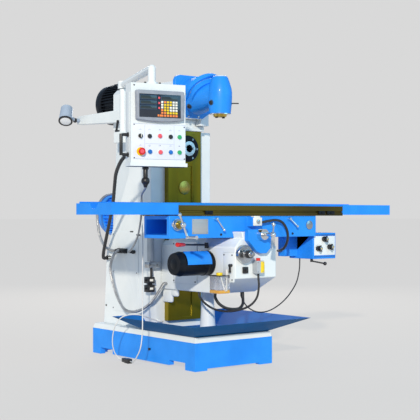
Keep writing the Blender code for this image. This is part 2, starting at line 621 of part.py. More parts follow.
def make_table():
    body = block((TABLE_LEFT, TABLE_FRONT, TABLE_BOTTOM), (TABLE_RIGHT, TABLE_REAR, TABLE_TOP))
    middle = (TABLE_FRONT + TABLE_REAR) / 2
    cuts = []
    for y in (middle - 0.09, middle, middle + 0.09):
        cuts.append(block((TABLE_LEFT - 0.1, y - 0.007, TABLE_TOP - 0.015), (TABLE_RIGHT + 0.1, y + 0.007, TABLE_TOP + 0.1)))
        cuts.append(block((TABLE_LEFT - 0.1, y - 0.012, TABLE_TOP - 0.026), (TABLE_RIGHT + 0.1, y + 0.012, TABLE_TOP - 0.014)))
    part("table", "oiled_steel", body, cut=cuts)

    wall = 0.005
    strip_front = TABLE_REAR + GAP
    rear = strip_front + wall
    halfway = (TABLE_LEFT + TABLE_RIGHT) / 2
    for name, end, away in (("left_guard", TABLE_LEFT, -1), ("right_guard", TABLE_RIGHT, 1)):
        near, far = end + away * GAP, end + away * GUARD_REACH
        low_x, high_x = sorted((near, far))
        outer = block((low_x, TABLE_FRONT, TABLE_BOTTOM + 0.006), (high_x, rear, GUARD_TOP))
        low_x, high_x = sorted((near - away * 0.1, far - away * wall))
        inner = block((low_x, TABLE_FRONT + wall, TABLE_BOTTOM + 0.011), (high_x, strip_front, 1.2))
        notch = rod((far - away * 0.05, middle, GUARD_TOP + 0.014), (far + away * 0.05, middle, GUARD_TOP + 0.014), 0.047)
        low_x, high_x = sorted((far - away * 0.02, halfway + away * GAP))
        strip = block((low_x, strip_front, TABLE_BOTTOM + 0.0063), (high_x, rear - 0.0002, STRIP_TOP))
        part(name, "blue_paint", outer, join=[strip], cut=[inner, notch])


def pendant_place():
    """Across the pendant's face, into it, and up, from the middle of its face."""
    return Matrix.Translation((*PENDANT_FACE, 0)) @ Matrix.Rotation(PENDANT_TURN, 4, "Z")


def make_pendant():
    x, y = POST
    foot = block((-0.3, SLANT_FRONT + GAP, COLUMN_TOP - 0.071), (-SPINE_HALF - GAP, y + 0.05, COLUMN_TOP + 0.001))
    post = rod((x, y, COLUMN_TOP - 0.01), (x, y, ARM_BOTTOM - GAP), 0.022)
    part("pendant_post", "white_paint", foot, join=[post])

    place = pendant_place()
    neck = place @ Vector((-0.025, PENDANT_DEPTH / 2, 0))
    swing = pivot("pendant_axis", (x, y, ARM_BOTTOM))
    hub = rod((x, y, ARM_BOTTOM), (x, y, ARM_TOP), 0.034)
    level = (ARM_BOTTOM + ARM_TOP) / 2
    bar = rod((x, y, level), (neck.x, neck.y, level), 0.0225)
    elbow = ball((neck.x, neck.y, level), 0.0232)
    drop = rod((neck.x, neck.y, level), (neck.x, neck.y, PENDANT_TOP + GAP), 0.0225)
    foot = rod((neck.x, neck.y, PENDANT_TOP + GAP), (neck.x, neck.y, PENDANT_TOP + 0.012), 0.034)
    part("pendant_arm", "white_paint", hub, join=[bar, elbow, drop, foot], turns_on=swing)

    half, deep = PENDANT_HALF, PENDANT_DEPTH
    body = block((-half, 0, PENDANT_BOTTOM), (half, deep, PENDANT_TOP), place)
    skirt = block((-half - 0.008, -0.012, PENDANT_BOTTOM + 0.001), (half + 0.008, deep - 0.01, PENDANT_BOTTOM + 0.022), place)
    gland_x, gland_y = -0.064, deep / 2
    gland = rod((gland_x, gland_y, PENDANT_BOTTOM + 0.01), (gland_x, gland_y, 1.13), 0.012, sides=12, place=place)
    connector = ball((gland_x, gland_y, 1.121), 0.023, place)
    grip_x, grip_y = -half - 0.045, 0.04
    handle = [
        rod((-half + 0.005, grip_y, 1.385), (grip_x, grip_y, 1.385), 0.008, sides=12, place=place),
        rod((-half + 0.005, grip_y, 1.27), (grip_x, grip_y, 1.27), 0.008, sides=12, place=place),
        rod((grip_x, grip_y, 1.262), (grip_x, grip_y, 1.393), 0.0085, sides=12, place=place),
    ]
    outlet = rod((-0.12, deep - 0.005, 1.29), (-0.12, deep + 0.02, 1.29), 0.016, sides=12, place=place)
    holes = []
    buttons = (
        ("mode_selector", "black_plastic", -0.114, BUTTON_UPPER),
        ("black_button_left", "black_plastic", -0.057, BUTTON_UPPER),
        ("black_button_right", "black_plastic", 0.074, BUTTON_UPPER),
        ("green_button_upper", "green_plastic", 0.13, BUTTON_UPPER),
        ("emergency_stop", "red_plastic", -0.112, BUTTON_LOWER),
        ("blue_button_left", "blue_plastic", -0.055, BUTTON_LOWER),
        ("blue_button_right", "blue_plastic", 0.074, BUTTON_LOWER),
        ("green_button_lower", "green_plastic", 0.13, BUTTON_LOWER),
    )
    for name, colour, across, height in buttons:
        holes.append(rod((across, -0.05, height), (across, 0.012, height), BUTTON_HOLE, place=place))
        press = pivot(name + "_axis", place @ Vector((across, 0, height)))
        stem = rod((across, -0.012, height), (across, 0.006, height), BUTTON_RADIUS, place=place)
        extra = []
        if name == "emergency_stop":
            extra = [rod((across, -0.028, height), (across, -0.011, height), 0.021, 0.014, place=place)]
        if name == "mode_selector":
            extra = [block((across - 0.003, -0.02, height - 0.012), (across + 0.003, -0.01, height + 0.012), place)]
        part(name, colour, stem, join=extra, turns_on=press)
    part("pendant_box", "white_paint", body, join=[skirt, gland, connector, outlet, *handle], cut=holes, turns_on=swing)
    console = block((-0.147, -0.03, 1.461), (0.152, -GAP, 1.64), place)
    part("display_console", "console_grey", console, turns_on=swing)


def make_cables():
    place = Matrix.Translation((-0.405, 0.062, 0.0)) @ Matrix.Rotation(math.radians(-8), 4, "Z")
    cable("supply_lead", "light_cable", [
        (-0.2623, 0.045, 0.93), (-0.276, 0.045, 0.93), (-0.298, 0.033, 0.915), (-0.325, 0.0, 0.86), (-0.36, -0.055, 0.755),
        (-0.395, -0.106, 0.63), (-0.435, -0.162, 0.5), (-0.47, -0.212, 0.36), (-0.486, -0.235, 0.24), (-0.482, -0.21, 0.13),
        (-0.46, -0.13, 0.055), (-0.43, -0.055, 0.02), place @ Vector((0, -0.0763, 0.0155)), place @ Vector((0, -0.0583, 0.0155))],
        0.0035, 0.016)
    body = block((-0.017, -0.058, 0.001), (0.017, 0.0, 0.03), place)
    other = block((-0.014, -0.002, 0.003), (0.014, 0.04, 0.027), place)
    part("lead_plug", "black_plastic", body, join=[other])
    cable("tray_lead", "light_cable", [
        place @ Vector((0, 0.0403, 0.0155)), place @ Vector((0, 0.0583, 0.0155)), (-0.405, 0.145, 0.022), (-0.43, 0.155, 0.06),
        (-0.465, 0.125, 0.13), (-0.487, 0.07, 0.22), (-0.476, 0.02, 0.285), (-0.44, -0.02, 0.308), (-0.38, -0.055, 0.306),
        (-0.3, -0.06, 0.279), (-0.23, -0.055, 0.255), (-0.19, -0.033, 0.25), (-0.185, -0.0145, 0.25),
        (-0.185, 0.0017, 0.25)], 0.0035, 0.016)
    place = pendant_place()
    cable("armoured_cable", "grey_cable", [
        place @ Vector((-0.064, PENDANT_DEPTH / 2, 1.0976)), place @ Vector((-0.064, PENDANT_DEPTH / 2, 1.08)),
        (-0.563, -0.35, 1.056), (-0.533, -0.295, 1.042), (-0.508, -0.258, 1.012), (-0.49, -0.232, 0.965), (-0.466, -0.19, 0.905),
        (-0.415, -0.096, 0.832), (-0.37, -0.01, 0.783), (-0.33, 0.08, 0.74), (-0.305, 0.155, 0.702), (-0.292, 0.195, 0.688),
        (-0.279, 0.206, 0.686), (-0.2624, 0.206, 0.686)], 0.006, 0.02)
    cable("pendant_conduit", "black_plastic", [
        place @ Vector((-0.12, PENDANT_DEPTH + 0.0203, 1.29)), place @ Vector((-0.12, PENDANT_DEPTH + 0.048, 1.29)),
        (-0.635, -0.24, 1.25), (-0.59, -0.11, 1.18), (-0.53, 0.0, 1.11), (-0.44, 0.16, 0.99), (-0.36, 0.34, 0.83),
        (-0.315, 0.46, 0.69), (-0.292, 0.5, 0.64), (-0.2654, 0.5, 0.64)], 0.011, 0.028)
    side = -KNEE_HALF - GAP
    cable("knee_conduit", "grey_cable", [
        (side, -0.035, 0.49), (side - 0.024, -0.035, 0.49), (-0.225, -0.035, 0.44), (-0.265, -0.01, 0.375), (-0.29, 0.05, 0.33),
        (-0.305, 0.13, 0.308), (-0.312, 0.22, 0.32), (-0.312, 0.3, 0.39), (-0.312, 0.36, 0.49), (-0.315, 0.38, 0.58),
        (-0.31, 0.355, 0.655), (-0.288, 0.34, 0.69), (-0.2624, 0.34, 0.69)], 0.009, 0.024)
    cable("gearbox_cable", "black_plastic", [
        (0.6, -0.45, GEARBOX_BOTTOM - GAP), (0.6, -0.45, GEARBOX_BOTTOM - 0.02), (0.592, -0.452, 0.56), (0.555, -0.456, 0.475),
        (0.45, -0.47, 0.385), (0.35, -0.45, 0.325), (0.26, -0.43, 0.315), (0.19, -0.41, 0.35), (0.15, -0.4, 0.41),
        (0.145, -0.4, KNEE_BOTTOM - 0.018), (0.145, -0.4, KNEE_BOTTOM - GAP)], 0.004, 0.017)
    cable("feed_hose", "black_plastic", [
        (0.08 + GAP, -0.655, 0.882), (0.104, -0.655, 0.882), (0.15, -0.658, 0.889), (0.21, -0.66, 0.893), (0.26, -0.662, 0.875),
        (0.295, -0.662, 0.825), (0.312, -0.645, 0.768), (0.332, -0.595, 0.722), (0.36, -0.525, 0.702), (0.405, -0.455, 0.698),
        (0.445, -0.42, 0.698), (GEARBOX_LEFT - GAP, -0.42, 0.698)], 0.008, 0.022)


start()
mix_paints()
make_base()
make_chip_tray()
make_column()
make_rear_motor()
make_elevating_screw()
make_ram()
make_head()
make_knee()
make_saddle()
make_table()
make_pendant()
make_cables()
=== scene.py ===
import json
import math

import bmesh
import bpy
from mathutils import Matrix, Vector


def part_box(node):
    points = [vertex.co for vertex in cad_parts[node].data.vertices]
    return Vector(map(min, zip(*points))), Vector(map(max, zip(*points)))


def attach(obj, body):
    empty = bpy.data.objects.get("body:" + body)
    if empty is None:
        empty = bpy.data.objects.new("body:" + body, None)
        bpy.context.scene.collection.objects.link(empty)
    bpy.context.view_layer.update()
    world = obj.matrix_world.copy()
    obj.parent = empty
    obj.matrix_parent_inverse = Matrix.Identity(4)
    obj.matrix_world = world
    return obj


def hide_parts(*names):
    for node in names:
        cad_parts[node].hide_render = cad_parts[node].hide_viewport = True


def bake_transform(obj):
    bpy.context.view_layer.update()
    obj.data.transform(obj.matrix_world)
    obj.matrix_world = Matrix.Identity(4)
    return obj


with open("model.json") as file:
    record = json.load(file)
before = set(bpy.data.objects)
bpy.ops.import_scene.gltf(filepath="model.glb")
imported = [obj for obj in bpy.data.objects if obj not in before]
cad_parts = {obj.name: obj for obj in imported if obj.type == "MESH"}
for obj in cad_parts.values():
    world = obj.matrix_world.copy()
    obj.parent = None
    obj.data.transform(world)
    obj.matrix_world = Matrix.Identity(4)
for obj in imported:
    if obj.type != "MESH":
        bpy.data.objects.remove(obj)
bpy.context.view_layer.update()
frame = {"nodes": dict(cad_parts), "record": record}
finish = {}  # every material, by name


# camera, floor and lights

viewpoint = {
    "place": (-3.9954, -5.3136, 0.92),
    "heading": (0.6211, 0.7837, 0.0),
    "lens": 88.3,
    "sensor": 36,
    "shiftUp": 0.0136,
}


def setCamera():
    lens = bpy.data.cameras.new("camera")
    lens.lens = viewpoint["lens"]
    lens.sensor_width = viewpoint["sensor"]
    lens.shift_y = viewpoint["shiftUp"]
    camera = bpy.data.objects.new("camera", lens)
    camera.location = viewpoint["place"]
    camera.rotation_euler = Vector(viewpoint["heading"]).to_track_quat("-Z", "Y").to_euler()
    bpy.context.scene.collection.objects.link(camera)
    bpy.context.scene.camera = camera


studio = {
    "backdrop": (0.694, 0.694, 0.694),
    "sky": (0.27, 0.385, 0.54),
    "floorTone": (0.18, 0.16, 0.14),
    "floorGlow": 0.81,
    "floorSize": 500,
    "keyPlace": (0, 0, 5),
    "keyHeading": (1.0, 1.07, -0.53),
    "keyTint": (1.0, 0.9, 0.75),
    "keyStrength": 3.1,
    "keySoftness": 2.5,
}

# name: (place, aim, width, watts, colour)
lamps = {
    "leftFill": ((-5.0, 3.0, 3.2), (0, 0, 1.0), 3.0, 14, (0.92, 0.96, 1.0)),
    "frontFill": ((3.0, -6.0, 3.6), (0, 0, 1.0), 4.0, 90, (0.28, 0.74, 1.0)),
    "backFill": ((3.5, 4.5, 3.5), (0, 0, 1.0), 3.0, 110, (1.0, 1.0, 1.0)),
}


def addLight(light, name, place, heading):
    lamp = bpy.data.objects.new(name, light)
    lamp.location = place
    lamp.rotation_euler = Vector(heading).to_track_quat("-Z", "Y").to_euler()
    bpy.context.scene.collection.objects.link(lamp)


def setSky():
    world = bpy.data.worlds.new("sky")
    world.use_nodes = True
    nodes, links = world.node_tree.nodes, world.node_tree.links
    sky = nodes["Background"]
    sky.inputs["Color"].default_value = (*studio["sky"], 1)
    backdrop = nodes.new("ShaderNodeBackground")
    backdrop.inputs["Color"].default_value = (*studio["backdrop"], 1)
    rays = nodes.new("ShaderNodeLightPath")
    pick = nodes.new("ShaderNodeMixShader")
    links.new(rays.outputs["Is Camera Ray"], pick.inputs["Fac"])
    links.new(sky.outputs["Background"], pick.inputs[1])
    links.new(backdrop.outputs["Background"], pick.inputs[2])
    links.new(pick.outputs["Shader"], nodes["World Output"].inputs["Surface"])
    bpy.context.scene.world = world
    bpy.context.scene.view_settings.view_transform = "Standard"


def addLights():
    key = bpy.data.lights.new("keyLight", "SUN")
    key.energy = studio["keyStrength"]
    key.color = studio["keyTint"]
    key.angle = math.radians(studio["keySoftness"])
    addLight(key, "keyLight", studio["keyPlace"], studio["keyHeading"])
    for name, (place, aim, width, watts, colour) in lamps.items():
        light = bpy.data.lights.new(name, "AREA")
        light.size = width
        light.energy = watts
        light.color = colour
        addLight(light, name, place, Vector(aim) - Vector(place))


def layFloor():
    bm = bmesh.new()
    bmesh.ops.create_grid(bm, size=studio["floorSize"] / 2)
    mesh = bpy.data.meshes.new("floor")
    bm.to_mesh(mesh)
    bm.free()
    floor = bpy.data.objects.new("floor", mesh)
    bpy.context.scene.collection.objects.link(floor)
    tone = bpy.data.materials.new("floorTone")
    tone.use_nodes = True
    shader = tone.node_tree.nodes["Principled BSDF"]
    shader.inputs["Base Color"].default_value = (*studio["floorTone"], 1)
    shader.inputs["Roughness"].default_value = 1.0
    shader.inputs["Specular IOR Level"].default_value = 0.0
    shader.inputs["Emission Color"].default_value = (*studio["backdrop"], 1)
    shader.inputs["Emission Strength"].default_value = studio["floorGlow"]
    mesh.materials.append(tone)


setCamera()
setSky()
addLights()
layFloor()
print("camera, floor and lights set")


# finishes

# how every finish is mixed: the clouds' size against the grain's, the noise that counts as clear and as clouded,
# the grain's height in metres and the lacquer's roughness
mixing = {"cloudSize": 14, "clear": 0.34, "clouded": 0.68, "grainHeight": 0.002, "lacquer": 0.12}

# colour and its darker cloud, roughness from and to, metal, grain per metre and its depth, lacquer coat, specular
finishes = {
    "blueEnamel": {
        "colour": (0.022, 0.285, 0.92), "cloud": (0.016, 0.24, 0.82), "rough": (0.34, 0.48),
        "grain": 90, "depth": 0.05, "coat": 0.1, "specular": 0.2,
    },
    # painted shade: darker copies of blueEnamel for the chip tray's faces, chosen by which way each face looks
    "trayFloorPaintedShade": {
        "colour": (0.008, 0.16, 0.54), "cloud": (0.006, 0.14, 0.48), "rough": (0.6, 0.75),
        "grain": 60, "depth": 0.04, "specular": 0.1,
    },
    "trayUndersidePaintedShade": {
        "colour": (0.0, 0.095, 0.26), "cloud": (0.0, 0.08, 0.22), "rough": (0.5, 0.65),
        "grain": 60, "depth": 0.04, "specular": 0.1,
    },
    "whiteEnamel": {
        "colour": (0.76, 0.81, 0.83), "cloud": (0.7, 0.76, 0.79), "rough": (0.34, 0.48),
        "grain": 90, "depth": 0.05, "coat": 0.1, "specular": 0.3,
    },
    "oiledIron": {
        "colour": (0.3, 0.225, 0.006), "cloud": (0.13, 0.097, 0.003), "rough": (0.22, 0.42), "metal": 0.75,
        "grain": 60, "depth": 0.12, "stretch": (1, 1, 0.18), "coat": 0.12, "specular": 0.3,
    },
    "oiledTable": {
        "colour": (0.17, 0.12, 0.008), "cloud": (0.06, 0.042, 0.003), "rough": (0.2, 0.4), "metal": 0.8,
        "grain": 160, "depth": 0.1, "stretch": (0.12, 1, 1), "coat": 0.3,
    },
    "oiledBrass": {
        "colour": (0.62, 0.45, 0.1), "cloud": (0.3, 0.2, 0.03), "rough": (0.18, 0.35), "metal": 0.95,
        "grain": 220, "depth": 0.08, "stretch": (1, 1, 0.1),
    },
    "brightChrome": {
        "colour": (0.82, 0.83, 0.85), "cloud": (0.66, 0.67, 0.68), "rough": (0.08, 0.18), "metal": 1.0,
        "grain": 400, "depth": 0.02,
    },
    "turnedSteel": {
        "colour": (0.56, 0.57, 0.58), "cloud": (0.38, 0.39, 0.4), "rough": (0.18, 0.34), "metal": 1.0,
        "grain": 500, "depth": 0.08, "stretch": (0.2, 1, 1),
    },
    "greyCasting": {
        "colour": (0.42, 0.46, 0.5), "cloud": (0.33, 0.37, 0.41), "rough": (0.4, 0.6),
        "grain": 200, "depth": 0.2,
    },
    "blackPlastic": {
        "colour": (0.013, 0.013, 0.015), "cloud": (0.02, 0.02, 0.022), "rough": (0.3, 0.45),
        "grain": 700, "depth": 0.1,
    },
    "blackSheath": {
        "colour": (0.016, 0.016, 0.018), "cloud": (0.03, 0.03, 0.032), "rough": (0.4, 0.6),
        "grain": 500, "depth": 0.15,
    },
    "motorEnamel": {
        "colour": (0.004, 0.006, 0.01), "cloud": (0.009, 0.011, 0.016), "rough": (0.3, 0.45),
        "grain": 150, "depth": 0.06, "coat": 0.04, "specular": 0.15,
    },
    "redPlastic": {
        "colour": (0.68, 0.02, 0.015), "cloud": (0.52, 0.012, 0.012), "rough": (0.22, 0.34),
        "grain": 500, "depth": 0.03, "coat": 0.2,
    },
    "rosePlastic": {
        "colour": (0.82, 0.1, 0.13), "cloud": (0.7, 0.07, 0.1), "rough": (0.2, 0.32),
        "grain": 500, "depth": 0.03, "coat": 0.3,
    },
    "bluePlastic": {
        "colour": (0.01, 0.16, 0.58), "cloud": (0.01, 0.12, 0.45), "rough": (0.22, 0.34),
        "grain": 500, "depth": 0.03, "coat": 0.2,
    },
    "greenPlastic": {
        "colour": (0.03, 0.42, 0.16), "cloud": (0.02, 0.33, 0.12), "rough": (0.22, 0.34),
        "grain": 500, "depth": 0.03, "coat": 0.2,
    },
    "yellowPlastic": {
        "colour": (0.9, 0.66, 0.015), "cloud": (0.78, 0.54, 0.01), "rough": (0.3, 0.42),
        "grain": 400, "depth": 0.04,
    },
    "orangePlastic": {
        "colour": (0.9, 0.28, 0.06), "cloud": (0.8, 0.22, 0.05), "rough": (0.3, 0.42),
        "grain": 400, "depth": 0.04,
    },
    "creamPlastic": {
        "colour": (0.86, 0.86, 0.78), "cloud": (0.76, 0.76, 0.68), "rough": (0.35, 0.5),
        "grain": 400, "depth": 0.05,
    },
    "brushedPlate": {
        "colour": (0.42, 0.44, 0.46), "cloud": (0.34, 0.36, 0.38), "rough": (0.4, 0.5), "metal": 0.3,
        "grain": 300, "depth": 0.05, "stretch": (0.1, 1, 1),
    },
    "lilacPlate": {
        "colour": (0.74, 0.78, 0.9), "cloud": (0.7, 0.745, 0.87), "rough": (0.3, 0.4),
        "grain": 200, "depth": 0.02,
    },
    "greyPlastic": {
        "colour": (0.3, 0.33, 0.39), "cloud": (0.25, 0.28, 0.34), "rough": (0.4, 0.52),
        "grain": 500, "depth": 0.12,
    },
    "darkScreen": {
        "colour": (0.014, 0.022, 0.04), "cloud": (0.01, 0.016, 0.03), "rough": (0.12, 0.2),
        "grain": 100, "depth": 0.0, "coat": 0.4,
    },
    "displayGlass": {
        "colour": (0.028, 0.042, 0.045), "cloud": (0.02, 0.03, 0.034), "rough": (0.08, 0.14),
        "grain": 100, "depth": 0.0, "coat": 0.5,
    },
    # grey: printed lines and ticks on the control plate, and painted shade along its top and bottom edges
    "greyPrintAndShadeLine": {
        "colour": (0.36, 0.39, 0.48), "cloud": (0.32, 0.35, 0.44), "rough": (0.5, 0.6),
        "grain": 200, "depth": 0.0,
    },
    # navy: trim round the console's display windows, and painted shade in the head's screw pockets and under the
    # pendant box
    "navyTrimAndPaintedShade": {
        "colour": (0.04, 0.1, 0.2), "cloud": (0.03, 0.08, 0.17), "rough": (0.4, 0.55),
        "grain": 120, "depth": 0.05,
    },
    "lampEnamel": {
        "colour": (0.36, 0.44, 0.55), "cloud": (0.3, 0.38, 0.49), "rough": (0.3, 0.42),
        "grain": 160, "depth": 0.05, "coat": 0.2,
    },
    "lensGlass": {
        "colour": (0.85, 0.88, 0.9), "cloud": (0.74, 0.77, 0.8), "rough": (0.08, 0.2),
        "grain": 60, "depth": 0.05, "coat": 0.5,
    },
    "lightSheath": {
        "colour": (0.72, 0.73, 0.72), "cloud": (0.6, 0.61, 0.6), "rough": (0.4, 0.55),
        "grain": 300, "depth": 0.06,
    },
    "amberOil": {
        "colour": (0.75, 0.4, 0.05), "cloud": (0.6, 0.28, 0.03), "rough": (0.1, 0.2),
        "grain": 60, "depth": 0.0, "coat": 0.4,
    },
}


def mixFinish(name, look):
    material = bpy.data.materials.new(name)
    material.use_nodes = True
    nodes, links = material.node_tree.nodes, material.node_tree.links
    shader = nodes["Principled BSDF"]
    coords = nodes.new("ShaderNodeTexCoord")
    stretch = nodes.new("ShaderNodeMapping")
    stretch.inputs["Scale"].default_value = look.get("stretch", (1, 1, 1))
    links.new(coords.outputs["Object"], stretch.inputs["Vector"])
    clouds = nodes.new("ShaderNodeTexNoise")
    clouds.inputs["Scale"].default_value = look["grain"] / mixing["cloudSize"]
    clouds.inputs["Detail"].default_value = 5
    links.new(stretch.outputs["Vector"], clouds.inputs["Vector"])
    spread = nodes.new("ShaderNodeMapRange")
    spread.inputs["From Min"].default_value = mixing["clear"]
    spread.inputs["From Max"].default_value = mixing["clouded"]
    links.new(clouds.outputs["Fac"], spread.inputs["Value"])
    colour = nodes.new("ShaderNodeMix")
    colour.data_type = "RGBA"
    colour.inputs[6].default_value = (*look["colour"], 1)
    colour.inputs[7].default_value = (*look["cloud"], 1)
    links.new(spread.outputs["Result"], colour.inputs["Factor"])
    links.new(colour.outputs[2], shader.inputs["Base Color"])
    gloss = nodes.new("ShaderNodeMapRange")
    gloss.inputs["To Min"].default_value = look["rough"][0]
    gloss.inputs["To Max"].default_value = look["rough"][1]
    links.new(clouds.outputs["Fac"], gloss.inputs["Value"])
    links.new(gloss.outputs["Result"], shader.inputs["Roughness"])
    if look["depth"]:
        grain = nodes.new("ShaderNodeTexNoise")
        grain.inputs["Scale"].default_value = look["grain"]
        grain.inputs["Detail"].default_value = 3
        links.new(stretch.outputs["Vector"], grain.inputs["Vector"])
        bump = nodes.new("ShaderNodeBump")
        bump.inputs["Strength"].default_value = look["depth"]
        bump.inputs["Distance"].default_value = mixing["grainHeight"]
        links.new(grain.outputs["Fac"], bump.inputs["Height"])
        links.new(bump.outputs["Normal"], shader.inputs["Normal"])
    shader.inputs["Metallic"].default_value = look.get("metal", 0)
    shader.inputs["Coat Weight"].default_value = look.get("coat", 0)
    shader.inputs["Coat Roughness"].default_value = mixing["lacquer"]
    shader.inputs["Specular IOR Level"].default_value = look.get("specular", 0.5)
    finish[name] = material
    return material


tankPlastic = {
    "colour": (0.8, 0.83, 0.9), "cloud": (0.68, 0.72, 0.82), "rough": (0.12, 0.3),
    "grain": 120, "depth": 0.05, "clearness": 0.75, "bending": 1.3,
}
# lean is how the ribs of the wound metal hose lie, in degrees
hoseArmour = {
    "colour": (0.5, 0.51, 0.52), "cloud": (0.34, 0.35, 0.36), "rough": (0.3, 0.45), "metal": 0.7,
    "grain": 300, "depth": 0, "ribs": 60, "ribDepth": 0.7, "lean": (0, 30, 60),
}


def mixTankPlastic():
    shader = mixFinish("tankPlastic", tankPlastic).node_tree.nodes["Principled BSDF"]
    shader.inputs["Transmission Weight"].default_value = tankPlastic["clearness"]
    shader.inputs["IOR"].default_value = tankPlastic["bending"]


def mixArmour():
    material = mixFinish("hoseArmour", hoseArmour)
    nodes, links = material.node_tree.nodes, material.node_tree.links
    coords = nodes.new("ShaderNodeTexCoord")
    turn = nodes.new("ShaderNodeMapping")
    turn.inputs["Rotation"].default_value = [math.radians(angle) for angle in hoseArmour["lean"]]
    ribs = nodes.new("ShaderNodeTexWave")
    ribs.inputs["Scale"].default_value = hoseArmour["ribs"]
    bump = nodes.new("ShaderNodeBump")
    bump.inputs["Strength"].default_value = hoseArmour["ribDepth"]
    bump.inputs["Distance"].default_value = mixing["grainHeight"]
    links.new(coords.outputs["Object"], turn.inputs["Vector"])
    links.new(turn.outputs["Vector"], ribs.inputs["Vector"])
    links.new(ribs.outputs["Fac"], bump.inputs["Height"])
    links.new(bump.outputs["Normal"], nodes["Principled BSDF"].inputs["Normal"])


for name, look in finishes.items():
    mixFinish(name, look)
mixTankPlastic()
mixArmour()
print("finishes mixed:", len(finish))


# shaping helpers

seat = 0.0003  # gap under a fitting, in metres
# metres between points made one, degrees of a sharp edge and of a face that counts as flat
shaping = {"weld": 0.00002, "crease": 35, "flat": 1}
# sides and broken edge of the bolt and screw heads
hexHead = {"segments": 6, "edge": 0.0008}
roundHead = {"segments": 16, "edge": 0.0006}
smallHead = {"segments": 12, "edge": 0.0004}


def isolate(bm, before):
    return [v for v in bm.verts if v not in before]


def breakCorners(bm, edges, width, segments=2, clamp=False):
    bmesh.ops.bevel(
        bm,
        geom=list(edges),
        offset=width,
        segments=segments,
        profile=0.5,
        affect="EDGES",
        material=-1,
        clamp_overlap=clamp,
    )


def addBlock(bm, low, high, edge=0.0015, place=None):
    before = set(bm.verts)
    low, high = Vector(low), Vector(high)
    size = Matrix.Diagonal((*(high - low), 1))
    bmesh.ops.create_cube(bm, size=1, matrix=Matrix.Translation((low + high) / 2) @ size)
    if edge:
        breakCorners(bm, {e for v in isolate(bm, before) for e in v.link_edges}, edge)
    if place:
        bmesh.ops.transform(bm, matrix=place, verts=isolate(bm, before))


def addRod(bm, start, end, radius, endRadius=None, segments=24, edge=0.0, place=None):
    before = set(bm.verts)
    start, end = Vector(start), Vector(end)
    along = end - start
    turn = along.to_track_quat("Z", "Y").to_matrix().to_4x4()
    bmesh.ops.create_cone(
        bm,
        cap_ends=True,
        segments=segments,
        radius1=radius,
        radius2=radius if endRadius is None else endRadius,
        depth=along.length,
        matrix=Matrix.Translation((start + end) / 2) @ turn,
    )
    if edge:
        edges = {e for v in isolate(bm, before) for e in v.link_edges}
        breakCorners(bm, [e for e in edges if any(len(f.verts) > 4 for f in e.link_faces)], edge)
    if place:
        bmesh.ops.transform(bm, matrix=place, verts=isolate(bm, before))


def addRods(bm, rods, **look):
    # each is its two ends, its radius and, on a taper, its radius at the far end
    for rod in rods:
        addRod(bm, *rod, **look)


def addBall(bm, centre, radius, place):
    before = set(bm.verts)
    bmesh.ops.create_uvsphere(bm, u_segments=20, v_segments=12, radius=radius, matrix=Matrix.Translation(centre))
    bmesh.ops.transform(bm, matrix=place, verts=isolate(bm, before))


def addTurned(bm, profile, centre, along=(0, 0, 1), steps=40):
    # profile is (radius, distance along the axis)
    before = set(bm.verts)
    points = [bm.verts.new((r, 0, h)) for r, h in profile]
    edges = [bm.edges.new(pair) for pair in zip(points, points[1:])]
    bmesh.ops.spin(
        bm, geom=points + edges, cent=(0, 0, 0), axis=(0, 0, 1), angle=math.tau, steps=steps, use_merge=True
    )
    bmesh.ops.remove_doubles(bm, verts=isolate(bm, before), dist=shaping["weld"])
    made = isolate(bm, before)
    turn = Vector(along).to_track_quat("Z", "Y").to_matrix().to_4x4()
    bmesh.ops.transform(bm, matrix=Matrix.Translation(centre) @ turn, verts=made)
    bmesh.ops.recalc_face_normals(bm, faces=list({f for v in made for f in v.link_faces}))


def addRing(bm, centre, along, inner, outer, thick, steps=48):
    profile = [
        (inner, 0), (outer - 0.0005, 0), (outer, 0.0006), (outer, thick - 0.0006), (outer - 0.0005, thick),
        (inner, thick), (inner, 0)]
    addTurned(bm, profile, centre, along, steps)


def addOutline(bm, points, axis, low, high, edge=0.0):
    before = set(bm.verts)
    order = {"x": lambda a, b, c: (c, a, b), "y": lambda a, b, c: (a, c, b)}[axis]
    face = bm.faces.new([bm.verts.new(order(a, b, low)) for a, b in points])
    grown = bmesh.ops.extrude_face_region(bm, geom=[face])
    moved = [v for v in grown["geom"] if isinstance(v, bmesh.types.BMVert)]
    bmesh.ops.translate(bm, verts=moved, vec=Vector(order(0, 0, high - low)))
    made = isolate(bm, before)
    bmesh.ops.recalc_face_normals(bm, faces=list({f for v in made for f in v.link_faces}))
    if edge:
        breakCorners(bm, {e for v in made for e in v.link_edges}, edge, clamp=True)


def arcPoints(centre, radius, start, end, count):
    turns = [math.radians(start + (end - start) * i / count) for i in range(count + 1)]
    return [(centre[0] + radius * math.cos(t), centre[1] + radius * math.sin(t)) for t in turns]


def turnsRound(centre, count, shift=0):
    # places spaced evenly round an axis that runs front to back
    middle = Matrix.Translation(centre)
    return [middle @ Matrix.Rotation(math.tau * (i + shift) / count, 4, "Y") for i in range(count)]


def finishPiece(bm, name, coat, body, nodes=()):
    mesh = bpy.data.meshes.new(name)
    bm.to_mesh(mesh)
    bm.free()
    mesh.shade_smooth()
    mesh.set_sharp_from_angle(angle=math.radians(shaping["crease"]))
    mesh.materials.append(finish[coat])
    piece = bpy.data.objects.new(name, mesh)
    bpy.context.scene.collection.objects.link(piece)
    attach(piece, body)
    if nodes:
        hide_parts(*nodes)
    return piece


# cords, each along the same points as its solid where it has one


def smoothRoute(points, spacing):
    knots = [Vector(point) for point in points]
    padded = [2 * knots[0] - knots[1], *knots, 2 * knots[-1] - knots[-2]]
    route = []
    for before, first, second, after in zip(padded, padded[1:], padded[2:], padded[3:]):
        steps = max(1, round((second - first).length / spacing))
        for step in range(steps):
            t = step / steps
            bend = (2 * before - 5 * first + 4 * second - after) * t**2
            twist = (3 * first - before - 3 * second + after) * t**3
            route.append((2 * first + (second - before) * t + bend + twist) / 2)
    return [*route, knots[-1]]


